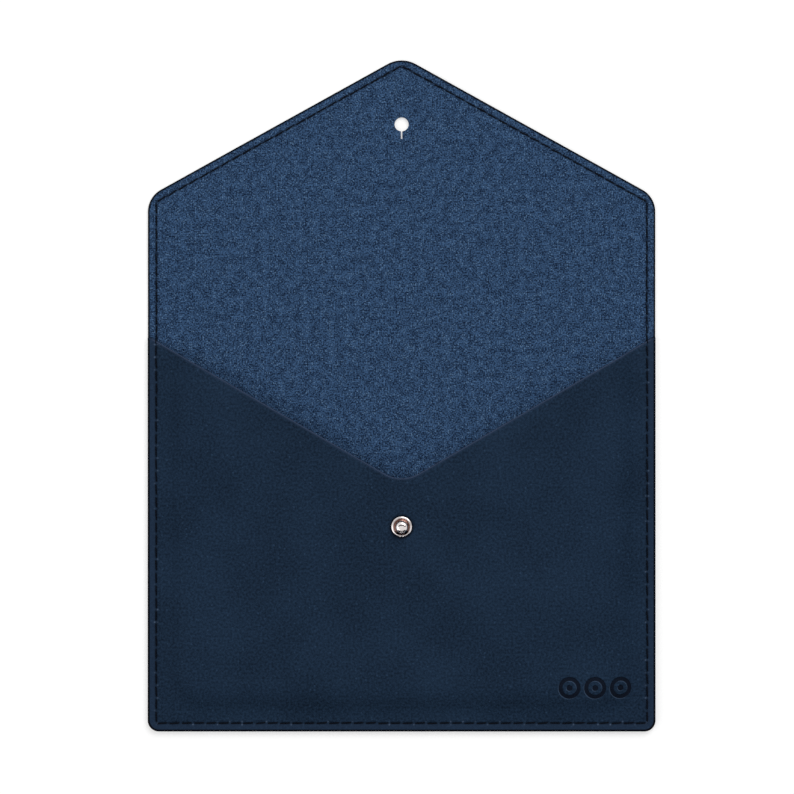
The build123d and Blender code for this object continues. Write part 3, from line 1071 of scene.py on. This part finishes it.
deepest = drawn_in(np.array([x_seam]), np.array([y_last_front_hole]), front_seam)[0]
print(f"the seam is drawn in by up to {deepest / mm:.2f} mm at a needle hole")

# %% [markdown]
# The front rises over two arcs, hollow at its foot and round at its crest, that meet halfway
# up. Both plies follow the same middle line, each at its own height from it, so the sheet
# keeps its thickness on the slope. The flap lies on the table and has waves alone.

# %% Heights of the front
slope_angle = 2 * atan(pocket_gap / slope_run)
slope_radius = slope_run / sin(slope_angle) / 2
front_middle = 1.5 * sheet
front_wave = 0.22 * mm
flap_wave = 0.16 * mm
calm_reach = 14 * mm
flap_still = 8 * mm
flap_loose = 30 * mm
stamp_softness = 0.3 * mm
waves = [
    # length across, length along, start
    (97 * mm, 143 * mm, 0.6),
    (71 * mm, -88 * mm, 2.1),
    (190 * mm, 52 * mm, 4.0),
]


def front_rise(x, y, height):
    """How far the front has risen, for a face that lies at this height at its rim."""
    above = height - front_middle
    foot = slope_radius - above
    crest = slope_radius + above
    middle = foot * sin(slope_angle)
    inwards = np.clip(inside_foot(x, y), 0, slope_run)
    rising = foot - np.sqrt(foot**2 - np.minimum(inwards, middle) ** 2)
    left = slope_run - np.maximum(inwards, middle)
    levelling = pocket_gap - crest + np.sqrt(crest**2 - left**2)
    return np.where(inwards < middle, rising, levelling)


def slow_waves(x, y):
    """Long shallow waves, between -1 and 1."""
    heights = [np.sin(2 * pi * (x / wide + y / long) + start) for wide, long, start in waves]
    return sum(heights) / len(waves)


def front_face(height):
    """A function for a face of the front that lies at this height at its rim."""

    def lie(x, y):
        rise = front_rise(x, y, height)
        calm = bell(np.hypot(x, y - y_stud), calm_reach)
        return height + rise + front_wave * slow_waves(x, y) * rise / pocket_gap * (1 - calm)

    return lie


print(f"the front rises {pocket_gap / mm:.1f} mm over {slope_run / mm:.0f} mm")


# %% Heights of the stamp and the flap
def soft_step(value, low, high):
    """0 below low, 1 above high, and a smooth rise between."""
    share = np.clip((value - low) / (high - low), 0, 1)
    return share * share * (3 - 2 * share)


def stamped(x, y):
    """How far the stamp has sunk the leather, from 0 to 1, with soft walls."""
    away = from_stamp(x, y)
    outer, inner, dot = (
        1 - soft_step(away, radius - stamp_softness / 2, radius + stamp_softness / 2)
        for radius in (stamp_ring_radius, stamp_ring_radius - stamp_ring_width, stamp_dot_radius)
    )
    return (1 - inner) * outer + dot


def flap_lift(x, y):
    """How far the flap's waves lift it off the table. It lies still at its crease and hole."""
    start = soft_step(y, y_flap + flap_still, y_flap + flap_loose)
    calm = bell(np.hypot(x, y - y_hole), calm_reach)
    return flap_wave * (1 + slow_waves(x, y)) * start * (1 - calm)


print(f"the flap's waves lift it by up to {2 * flap_wave / mm:.2f} mm")

# %% [markdown]
# A sheet's finish has to know where the seam, the edge and the needle holes are. Textures
# can't measure that, so each mark is a number stored at the mesh's points. The groove's shade
# is painted darker along the thread, except where leather bridges the holes, and a small pale
# painted highlight lies on either side of each hole, some strong and most weak.

# %% Needle marks
hole_highlight_reach = 0.6 * mm
hole_highlight_size = 0.26 * mm


def store(piece, name, values):
    """Keeps a number at each point, for the finish to read."""
    attribute = piece.data.attributes.new(name, "FLOAT", "POINT")
    attribute.data.foreach_set("value", values.astype(np.float32))


def needle_hole_highlight(x, y, seam):
    """Small painted highlights on both sides of the needle holes, each as strong as chance made
    it.
    """
    marks = np.zeros(len(x))
    luck = np.random.default_rng(7)
    for run in seam:
        (x0, y0), (x1, y1) = run
        length = hypot(x1 - x0, y1 - y0)
        for px, py in needle_holes([run]):
            for side in (-hole_highlight_reach, hole_highlight_reach):
                beside = side * (y0 - y1) / length
                upwards = side * (x1 - x0) / length
                away = np.hypot(x - px - beside, y - py - upwards)
                marks = np.maximum(marks, luck.random() ** 4 * bell(away, hole_highlight_size))
    return marks


print(f"a stress mark lies {hole_highlight_reach / mm:.1f} mm to each side of its hole")

# %% Marks of a sheet
bridge_share = 0.8
bridge_mark_reach = 0.7 * mm
groove_shade_share = 0.85
groove_shade_reach = 0.48 * mm
margin_fade = 0.5 * mm
rim_fade = (0.4 * mm, 1.4 * mm)


def mark_sheet(piece, x, y, edges, seam, outside, bridged, painted_shade):
    """Stores what the finishes read. Where leather bridges the holes, no groove shade is
    painted.
    """
    store(piece, "margin", soft_step(outside(x, y), 0.0, margin_fade))
    store(piece, "rim", 1 - soft_step(distance_to_runs(x, y, edges), *rim_fade))
    along = distance_to_runs(x, y, seam)
    at_hole = distance_to_points(x, y, needle_holes(seam))
    bridge = bridged * bell(at_hole, bridge_mark_reach)
    # The groove's shade, painted as a darker band along the thread.
    groove_shade = groove_shade_share * bell(along, groove_shade_reach) * (1 - bridge)
    store(piece, "painted_shade", np.maximum(groove_shade, painted_shade(x, y)))
    store(piece, "hole_highlight", needle_hole_highlight(x, y, seam))


def outside_pocket_seam(x, y):
    """How far points lie outside the pocket's seam."""
    return np.maximum(np.abs(x) - x_seam, y_seam_bottom - y)


def outside_flap_seam(x, y):
    """How far points lie outside the flap's seam."""
    past_slope = (y - y_seam_point) * cos(flap_slope) + np.abs(x) * sin(flap_slope)
    return np.maximum(np.abs(x) - x_seam, past_slope)


back_marks = (back_edges, pocket_seam, outside_pocket_seam)
flap_marks = (flap_edges, flap_seam, outside_flap_seam)
front_marks = (side_edges, front_seam, outside_pocket_seam)
print("marks: margin, rim, pressed, stress, and lip on the front alone")

# %% [markdown]
# Each ply is a slab: a Solidify modifier gives the blank its thickness, and its upper and
# lower points then go to their heights. Cover and lining come from one blank, so they meet
# point by point. The back is the plainest pair. Its outer faces carry the seam's valley, and
# the faces that are glued together stay flat.


# %% Slabs and their points
def solidify(blank, name, thickness):
    """A copy of a blank with a thickness, upwards from the blank."""
    piece = blank.copy()
    piece.data = blank.data.copy()
    piece.name = piece.data.name = name
    bpy.context.scene.collection.objects.link(piece)
    make_active(piece)
    bpy.ops.object.modifier_add(type="SOLIDIFY")
    piece.modifiers[-1].thickness = thickness
    piece.modifiers[-1].offset = 1
    bpy.ops.object.modifier_apply(modifier=piece.modifiers[-1].name)
    return piece


def read_points(piece):
    """A piece's points, as an array with a row for each."""
    points = np.empty(3 * len(piece.data.vertices))
    piece.data.vertices.foreach_get("co", points)
    return points.reshape(-1, 3)


def write_points(piece, points):
    """Moves a piece's points to new places."""
    piece.data.vertices.foreach_set("co", points.ravel())
    piece.data.update()


def store_uv(piece, name, places):
    """Keeps a place for each point, in metres, as a UV map."""
    corners = np.empty(len(piece.data.loops), int)
    piece.data.loops.foreach_get("vertex_index", corners)
    layer = piece.data.uv_layers.new(name=name)
    layer.data.foreach_set("uv", places[corners].astype(np.float32).ravel())


print(f"cover {cover_ply / mm:.1f} mm, lining {lining_ply / mm:.1f} mm")

# %% A ply
sharp_angle = radians(40)


def at_height(height):
    """A function for a flat face."""
    return lambda x, y: np.full(len(x), height)


def make_ply(name, blank, thickness, lower, upper, marks, bridged=0.0, painted_shade=None, cut=None):
    """A ply from its blank: solid, cut, with its flat plan, its shape and its marks."""
    piece = solidify(blank, name, thickness)
    if cut:
        cut(piece)
    points = read_points(piece)
    store_uv(piece, "plan", points[:, :2])
    x, y = points[:, 0], points[:, 1]
    points[:, 2] = np.where(points[:, 2] > thickness / 2, upper(x, y), lower(x, y))
    write_points(piece, points)
    make_active(piece)
    bpy.ops.object.shade_smooth_by_angle(angle=sharp_angle)
    mark_sheet(piece, x, y, *marks, bridged, painted_shade or at_height(0.0))
    print(name, "has", len(piece.data.polygons), "faces")
    return piece


# %% Back sheet
def back_outside(x, y):
    """The back's outer face, which lies on the table."""
    return drawn_in(x, y, pocket_seam)


def back_inside(x, y):
    """The back's lining, on the pocket's side."""
    return sheet - drawn_in(x, y, pocket_seam)


back_glue = at_height(cover_ply)
back_cover_sheet = make_ply(
    "back_cover_sheet", back_blank, cover_ply, back_outside, back_glue, back_marks, bridge_share
)
back_lining_sheet = make_ply(
    "back_lining_sheet", back_blank, lining_ply, back_glue, back_inside, back_marks
)

# %% [markdown]
# The flap has a round hole for the stud's ball and a slit that lets it stretch over the ball.
# They are small and sharp, so here a Boolean does cut them, out of the flat slab, with a
# cutter made from a cylinder and a thin box. Where it leaves a hair's gap between cells of
# two sizes, the gap is filled, so that the slab stays closed.

# %% Stud hole
hole_radius = 2.9 * mm
slit_length = 6 * mm
slit_width = 0.6 * mm
cutter_depth = 10 * mm
punch_sides = 48
widest_gap = 6


def cut_stud_hole(piece):
    """Cuts the round hole and its slit through a flap slab."""
    bpy.ops.object.select_all(action="DESELECT")
    bpy.ops.mesh.primitive_cylinder_add(
        vertices=punch_sides, radius=hole_radius, depth=cutter_depth, location=(0, y_hole, 0)
    )
    punch = bpy.context.object
    bpy.ops.mesh.primitive_cube_add(size=1, location=(0, y_hole - slit_length / 2, 0))
    knife = bpy.context.object
    knife.scale = (slit_width, slit_length, cutter_depth + mm)
    bpy.ops.object.transform_apply(location=True, rotation=False, scale=True)
    for cutter in (punch, knife):
        make_active(piece)
        bpy.ops.object.modifier_add(type="BOOLEAN")
        piece.modifiers[-1].object = cutter
        bpy.ops.object.modifier_apply(modifier=piece.modifiers[-1].name)
        bpy.data.objects.remove(cutter)
    bpy.context.tool_settings.mesh_select_mode = (False, True, False)
    bpy.ops.object.mode_set(mode="EDIT")
    bpy.ops.mesh.select_all(action="DESELECT")
    bpy.ops.mesh.select_non_manifold()
    bpy.ops.mesh.fill_holes(sides=widest_gap)
    bpy.ops.object.mode_set(mode="OBJECT")


print(f"the hole's middle is {(y_tip - y_hole) / mm:.1f} mm below the flap's point")

# %% [markdown]
# The flap's two plies are made like the back's. They also lift off the table in slow waves,
# all their faces alike, so the sheet keeps its thickness.


# %% Flap sheet
def flap_outside(x, y):
    """The flap's outer face, which lies on the table while the flap is open."""
    return flap_lift(x, y) + drawn_in(x, y, flap_seam)


def flap_glue(x, y):
    """Where the flap's cover and lining meet."""
    return flap_lift(x, y) + cover_ply


def flap_inside(x, y):
    """The flap's lining."""
    return flap_lift(x, y) + sheet - drawn_in(x, y, flap_seam)


flap_cover_sheet = make_ply(
    "flap_cover_sheet",
    flap_blank,
    cover_ply,
    flap_outside,
    flap_glue,
    flap_marks,
    bridge_share,
    cut=cut_stud_hole,
)
flap_lining_sheet = make_ply(
    "flap_lining_sheet",
    flap_blank,
    lining_ply,
    flap_glue,
    flap_inside,
    flap_marks,
    cut=cut_stud_hole,
)

# %% [markdown]
# The front's cover is the piece that is looked at most. It has the seam, the stamp and the
# dent that the stud's flange presses round itself, with a painted contact shadow round the
# flange. The lip of its mouth is marked too: handling has rubbed it paler, and a painted
# highlight lies where its cut edge catches the light.

# %% Front sheet
stamp_depth = 0.25 * mm
stud_dent = 0.25 * mm
dent_reach = 0.8 * mm
flange_shadow_offset = 0.25 * mm
flange_shadow_reach = 0.42 * mm
lip_fade = (0.4 * mm, 1.1 * mm)


def front_top(x, y):
    """The front's outer face, with its seam, its stamp and the dent round the stud."""
    dent = stud_dent * bell(np.hypot(x, y - y_stud) - flange_radius, dent_reach)
    sunk = drawn_in(x, y, front_seam) + stamp_depth * stamped(x, y) + dent
    return front_face(2 * sheet)(x, y) - sunk


def painted_shade_by_flange(x, y):
    """A painted contact shadow: a dark ring just outside the flange's rim."""
    outside = np.hypot(x, y - y_stud) - flange_radius
    return bell(outside - flange_shadow_offset, flange_shadow_reach)


front_glue = front_face(sheet + lining_ply)
front_cover_sheet = make_ply(
    "front_cover_sheet",
    front_blank,
    cover_ply,
    front_glue,
    front_top,
    front_marks,
    bridge_share,
    painted_shade_by_flange,
)
x, y = read_points(front_cover_sheet).T[:2]
from_mouth = distance_to_runs(x, y, mouth_edges)
store(front_cover_sheet, "lip", 1 - soft_step(from_mouth, *lip_fade))
front_lining_sheet = make_ply(
    "front_lining_sheet", front_blank, lining_ply, front_face(sheet), front_glue, front_marks
)
for blank in (back_blank, flap_blank, front_blank):
    bpy.data.objects.remove(blank)

# %% [markdown]
# ## Painted edges
# The cut edge of each sheet is sealed with paint, which dries in a small round bead. A curve
# runs along the outline at half the sheet's thickness, and a half-round profile is swept
# along it. The curve then becomes a mesh, and is cut square in the middle of the fold. A bevel
# on each slab would be simpler, but it would round each ply by itself, and the paint covers
# both as one.

# %% Bead
bead_half_height = sheet / 2 - 0.02 * mm
bead_root = 0.1 * mm
root_share = 0.9
bead_squareness = 0.7
bead_steps = 8


def poly_curve(name, points, closed):
    """A curve of straight pieces through points."""
    data = bpy.data.curves.new(name, "CURVE")
    data.dimensions = "3D"
    spline = data.splines.new("POLY")
    spline.points.add(len(points) - 1)
    spline.points.foreach_set("co", [c for point in points for c in (*point, 1)])
    spline.use_cyclic_u = closed
    curve = bpy.data.objects.new(name, data)
    bpy.context.scene.collection.objects.link(curve)
    return curve


def bead_profile():
    """The bead's section: flat where it sticks to the sheet and round outside."""
    root = bead_half_height * root_share
    section = [(-bead_root, -root, 0)]
    for step in range(bead_steps + 1):
        angle = -pi / 2 + pi * step / bead_steps
        outwards = edge_reach * abs(cos(angle)) ** bead_squareness
        section.append((outwards, bead_half_height * sin(angle), 0))
    return poly_curve("bead_profile", [*section, (-bead_root, root, 0)], True)


print(f"the bead is {2 * bead_half_height / mm:.2f} mm high")

# %% Painted edges
paint_step = 2 * mm
paint_sharp_angle = radians(50)
lip_reach = 0.6 * mm
lip_inset = 1.5 * mm


def fill_in(points):
    """A closed line's points with more between them, none further apart than paint_step."""
    line = []
    for start, end in sides_of(points):
        count = max(1, ceil((end - start).length / paint_step))
        line += [start.lerp(end, step / count) for step in range(count)]
    return line


def paint_edge(name, outline, height):
    """A bead of paint round an outline. height gives the middle of the sheet's edge."""
    line = fill_in(move_in(outline, edge_reach))
    x = np.array([point.x for point in line])
    y = np.array([point.y for point in line])
    profile = bead_profile()
    curve = poly_curve(name, list(zip(x, y, height(x, y))), True)
    curve.data.bevel_mode = "OBJECT"
    curve.data.bevel_object = profile
    curve.data.twist_mode = "Z_UP"
    make_active(curve)
    bpy.ops.object.convert(target="MESH")
    bpy.data.objects.remove(profile)
    bead = bpy.context.object
    with editing(bead):
        bpy.ops.mesh.normals_make_consistent(inside=False)
    bpy.ops.object.shade_smooth_by_angle(angle=paint_sharp_angle)
    return bead


back_edge_paint = paint_edge("back_edge_paint", back_outline, at_height(sheet / 2))
cut_piece(back_edge_paint, (half_width, y_split), (-half_width, y_split), fill=True)
line_creases(back_edge_paint, y_crease)

flap_edge_paint = paint_edge(
    "flap_edge_paint", flap_outline, lambda x, y: flap_lift(x, y) + sheet / 2
)
cut_piece(flap_edge_paint, (-half_width, y_split), (half_width, y_split), fill=True)
line_creases(flap_edge_paint, y_flap)

front_edge_paint = paint_edge("front_edge_paint", front_outline, front_face(front_middle))
x, y = read_points(front_edge_paint).T[:2]
on_lip = distance_to_runs(x, y, mouth_edges) < lip_reach
store(front_edge_paint, "lip", on_lip * (np.abs(x) < half_width - lip_inset))
for bead in (back_edge_paint, flap_edge_paint, front_edge_paint):
    print(bead.name, [round(size / mm, 2) for size in bead.dimensions])

# %% [markdown]
# ## Stitches
# One stitch is modelled with care and then copied. It starts as a ring of eight points in its
# needle hole. Pushing the ring out step by step, up and along, gives the thread its hump, and
# a slight slant, because a lockstitch never lies quite in line. A bevelled curve could do it
# too, but rings pushed out one by one have known places, so the map that winds round the
# thread can be worked out from them.

# %% One stitch
thread_radius = 0.25 * mm
thread_sides = 8
thread_sharp_angle = radians(60)
stitch_slant = 0.2 * mm
stitch_rings = [
    # along the stitch, height of the middle in millimetres, size
    (0.03, -0.7, 0.6),
    (0.07, -0.38, 0.9),
    (0.14, -0.14, 1.05),
    (0.34, -0.05, 1.15),
    (0.66, -0.05, 1.15),
    (0.86, -0.14, 1.05),
    (0.93, -0.38, 0.9),
    (0.97, -0.7, 0.6),
]


def model_stitch():
    """A single stitch that starts at the origin and runs along X."""
    bpy.ops.object.select_all(action="DESELECT")
    along, height, size = stitch_rings[0]
    bpy.ops.mesh.primitive_circle_add(
        vertices=thread_sides,
        radius=thread_radius * size,
        fill_type="NGON",
        rotation=(0, pi / 2, 0),
    )
    piece = bpy.context.object
    bpy.ops.object.transform_apply(location=False, rotation=True, scale=False)
    bpy.ops.object.mode_set(mode="EDIT")
    bpy.ops.transform.translate(value=(along * stitch_pitch, -stitch_slant, height * mm))
    for next_along, next_height, next_size in stitch_rings[1:]:
        step = next_along - along
        push = (step * stitch_pitch, 2 * stitch_slant * step, (next_height - height) * mm)
        bpy.ops.mesh.extrude_region_move(TRANSFORM_OT_translate={"value": push})
        bpy.ops.transform.resize(value=(1, next_size / size, next_size / size))
        along, height, size = next_along, next_height, next_size
    bpy.ops.mesh.select_all(action="SELECT")
    bpy.ops.mesh.normals_make_consistent(inside=False)
    bpy.ops.object.mode_set(mode="OBJECT")
    bpy.ops.object.shade_smooth_by_angle(angle=thread_sharp_angle)
    return piece


def wrap_stitch(piece):
    """A UV map that runs along the thread and around it, in metres."""
    points = read_points(piece)
    middles = np.interp(
        points[:, 0],
        [ring[0] * stitch_pitch for ring in stitch_rings],
        [ring[1] * mm for ring in stitch_rings],
    )
    around = np.arctan2(points[:, 2] - middles, points[:, 1]) * thread_radius
    store_uv(piece, "wrap", np.column_stack([points[:, 0], around]))


stitch = model_stitch()
wrap_stitch(stitch)
print("a stitch has", len(stitch.data.polygons), "faces")

# %% [markdown]
# An Array modifier lays a run of stitches. No two real ones are alike, so each is then pushed
# aside, turned and sunk a little, by chance. The run is turned to its place on the seam. The
# needle thread lies on the inside of the sheets, and the bobbin thread, the same shape turned
# over, on the outside.

# %% Row of stitches
chance = np.random.default_rng(3)
sway = 0.06 * mm
twist = 0.22 * mm
sinking = (-0.09 * mm, 0.03 * mm)


def sew_run(run, surface, turned_over=False):
    """A row of stitches along one run, on a surface at this height."""
    (x0, y0), (x1, y1) = run
    count = stitches_in(run)
    pitch = hypot(x1 - x0, y1 - y0) / count
    row = stitch.copy()
    row.data = stitch.data.copy()
    bpy.context.scene.collection.objects.link(row)
    row.scale.x = pitch / stitch_pitch
    make_active(row)
    bpy.ops.object.transform_apply(location=False, rotation=False, scale=True)
    bpy.ops.object.modifier_add(type="ARRAY")
    array = row.modifiers[-1]
    array.count = count
    array.use_relative_offset = False
    array.use_constant_offset = True
    array.constant_offset_displace = (pitch, 0, 0)
    bpy.ops.object.modifier_apply(modifier=array.name)
    points = read_points(row)
    turn = np.clip((points[:, 0] // pitch).astype(int), 0, count - 1)
    along = points[:, 0] / pitch - turn - 0.5
    points[:, 1] += chance.normal(0, sway, count)[turn]
    points[:, 1] += along * chance.normal(0, twist, count)[turn]
    points[:, 2] += chance.uniform(*sinking, count)[turn]
    write_points(row, points)
    row.location = (x0, y0, surface)
    row.rotation_euler = (pi if turned_over else 0, 0, atan2(y1 - y0, x1 - x0))
    bpy.ops.object.transform_apply(location=True, rotation=True, scale=False)
    return row


print(f"a stitch sways by about {sway / mm:.2f} mm")

# %% Sewing
thread_sink = 0.1 * mm
bobbin_sink = 0.32 * mm


def sew(name, rows):
    """Joins rows of stitches into one piece of thread."""
    bpy.ops.object.select_all(action="DESELECT")
    for row in rows:
        row.select_set(True)
    bpy.context.view_layer.objects.active = rows[0]
    bpy.ops.object.join()
    thread = bpy.context.object
    thread.name = thread.data.name = name
    print(name, "has", len(thread.data.polygons), "faces")
    return thread


over_edge = [sew_run(run, 2 * sheet - thread_sink) for run in over_edge_runs]
for row in over_edge:
    points = read_points(row)
    points[:, 2] -= sheet * soft_step(points[:, 1], y_mouth_edge, y_mouth_edge + mm)
    write_points(row, points)
front_rows = [sew_run(run, 2 * sheet - thread_sink) for run in front_runs]
fold_rows = [sew_run(run, sheet - thread_sink) for run in fold_runs]
pocket_needle_stitches = sew("pocket_needle_stitches", front_rows + over_edge + fold_rows)
bobbin_rows = [sew_run(run, bobbin_sink, turned_over=True) for run in pocket_seam]
pocket_bobbin_stitches = sew("pocket_bobbin_stitches", bobbin_rows)
flap_rows = [sew_run(run, sheet - thread_sink) for run in flap_seam]
flap_needle_stitches = sew("flap_needle_stitches", flap_rows)
flap_bobbin_rows = [sew_run(run, bobbin_sink, turned_over=True) for run in flap_seam]
flap_bobbin_stitches = sew("flap_bobbin_stitches", flap_bobbin_rows)
bpy.data.objects.remove(stitch)
for thread in (pocket_needle_stitches, pocket_bobbin_stitches):
    line_creases(thread, y_crease)
for thread in (flap_needle_stitches, flap_bobbin_stitches):
    points = read_points(thread)
    points[:, 2] += flap_lift(points[:, 0], points[:, 1])
    write_points(thread, points)
    line_creases(thread, y_flap)

# %% [markdown]
# ## Stud
# The stud is turned from brass and plated. Half its section is drawn as a line, from the
# flange's underside round its rim, over the dished face, up the neck and round the ball, and
# the line is spun about the stud's axis. A sphere on a cylinder would miss the rim and the
# dish, which give the real one its bright ring and its dark one. The ball is a little fuller
# than a sphere, because its bright top is wider than a sphere's.

# %% Stud section
ball_radius = 2.6 * mm
neck_radius = 1.8 * mm
neck_fillet = 0.4 * mm
flange_thickness = 0.8 * mm
dish_depth = 0.45 * mm
rim_half_width = 0.52 * mm
head_fullness = 3.6
rim_arc = np.radians(np.linspace(-90, 150, 25))
fillet_arc = np.radians(np.linspace(270, 180, 7))
ball_arc = np.radians(np.linspace(-55, 90, 32))


def stud_section():
    """Half the knob's section, as (radius, height) points from its underside to its top."""
    z_ball = stud_high.z - ball_radius
    z_rim = crown_top + flange_thickness / 2
    z_fillet = crown_top + flange_thickness - dish_depth + neck_fillet
    section = [(0.0, crown_top), (neck_radius, crown_top)]
    for angle in rim_arc:
        radius = flange_radius - rim_half_width * (1 - cos(angle))
        section.append((radius, z_rim + flange_thickness / 2 * sin(angle)))
    for angle in fillet_arc:
        radius = neck_radius + neck_fillet + neck_fillet * cos(angle)
        section.append((radius, z_fillet + neck_fillet * sin(angle)))
    for angle in ball_arc:
        outwards = abs(cos(angle)) ** (2 / head_fullness)
        upwards = abs(sin(angle)) ** (2 / head_fullness) * (1 if angle > 0 else -1)
        section.append((ball_radius * outwards, z_ball + ball_radius * upwards))
    section[-1] = (0.0, stud_high.z)
    return section


line = [(radius, 0, height) for radius, height in stud_section()]
print("the stud's section has", len(line), "points")

# %% Stud knob
spin_steps = 64
make_active(poly_curve("stud_knob_plated", line, False))
bpy.ops.object.convert(target="MESH")
stud_knob_plated = bpy.context.object
bpy.context.tool_settings.mesh_select_mode = (True, False, False)
bpy.ops.object.mode_set(mode="EDIT")
bpy.ops.mesh.select_all(action="SELECT")
bpy.ops.mesh.spin(steps=spin_steps, angle=2 * pi, center=(0, 0, 0), axis=(0, 0, 1))
bpy.ops.mesh.select_all(action="SELECT")
bpy.ops.mesh.remove_doubles(threshold=0.002 * mm)
bpy.ops.mesh.normals_make_consistent(inside=False)
bpy.ops.object.mode_set(mode="OBJECT")
stud_knob_plated.location = (0, y_stud, 0)
bpy.ops.object.transform_apply(location=True, rotation=False, scale=False)
bpy.ops.object.shade_smooth_by_angle(angle=sharp_angle)
print("stud knob", [round(size / mm, 2) for size in stud_knob_plated.dimensions])

# %% [markdown]
# ## Putting it together
# Each piece gets its finish, and the pieces of the frame that it stands for are hidden. The
# front, its paint and the stud ride on the pocket. Whatever runs over a crease has its place
# baked into its points. The stud's screw keeps its shape from the frame and gets the stud's
# finish.

# %% Finishes and bodies
bend = Vector((0, bend_reach, 0))
at_crease = Vector((0, y_crease, sheet))
at_flap = Vector((0, y_flap, sheet))
back_bend = ("pocket", "fold_band", at_crease - bend, at_crease + bend)
flap_bend = ("fold_band", "flap", at_flap - bend, at_flap + bend)
skin_stock = (leatherette, "leatherette")
lining_stock = (brushed_lining, "lining")
paint_stock = (edge_paint, "leatherette")
thread_stock = (waxed_thread, "thread")
metal_stock = (polished_nickel, "polished_metal")
assembly = [
    # piece, its finish and stock, where it bends, and the nodes that it stands for
    (back_cover_sheet, skin_stock, back_bend, "back_cover fold_cover"),
    (back_lining_sheet, lining_stock, back_bend, "back_lining fold_lining"),
    (flap_cover_sheet, skin_stock, flap_bend, "flap_cover fold_cover"),
    (flap_lining_sheet, lining_stock, flap_bend, "flap_lining fold_lining"),
    (front_cover_sheet, skin_stock, None, "front_cover"),
    (front_lining_sheet, lining_stock, None, "front_lining"),
    (back_edge_paint, paint_stock, back_bend, ""),
    (flap_edge_paint, paint_stock, flap_bend, ""),
    (front_edge_paint, paint_stock, None, ""),
    (pocket_needle_stitches, thread_stock, back_bend, "pocket_needle_thread fold_needle_thread"),
    (pocket_bobbin_stitches, thread_stock, back_bend, "pocket_bobbin_thread fold_bobbin_thread"),
    (flap_needle_stitches, thread_stock, flap_bend, "flap_needle_thread fold_needle_thread"),
    (flap_bobbin_stitches, thread_stock, flap_bend, "flap_bobbin_thread fold_bobbin_thread"),
    (stud_knob_plated, metal_stock, None, "stud_knob"),
]
for piece, (finish, stock), bending, names in assembly:
    nodes = names.split()
    piece.data.materials.clear()
    piece.data.materials.append(finish)
    if bending:
        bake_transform(piece)
    else:
        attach(piece, "pocket")
    if nodes:
        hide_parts(*nodes)
stud_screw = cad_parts["stud_screw"]
stud_screw.data.materials.clear()
stud_screw.data.materials.append(polished_nickel)
print(len(assembly), "pieces dressed, and the screw")

# %% [markdown]


# %% [markdown]
# Last, the size of the dressed holder is written beside that of the frame. The two should
# agree, because dressing a thing must not change its size.

# %% Finish
visual_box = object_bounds()
size = {
    "cad": [list(corner) for corner in cad_box],
    "visual": [list(corner) for corner in visual_box],
}
print("sizes:", size)
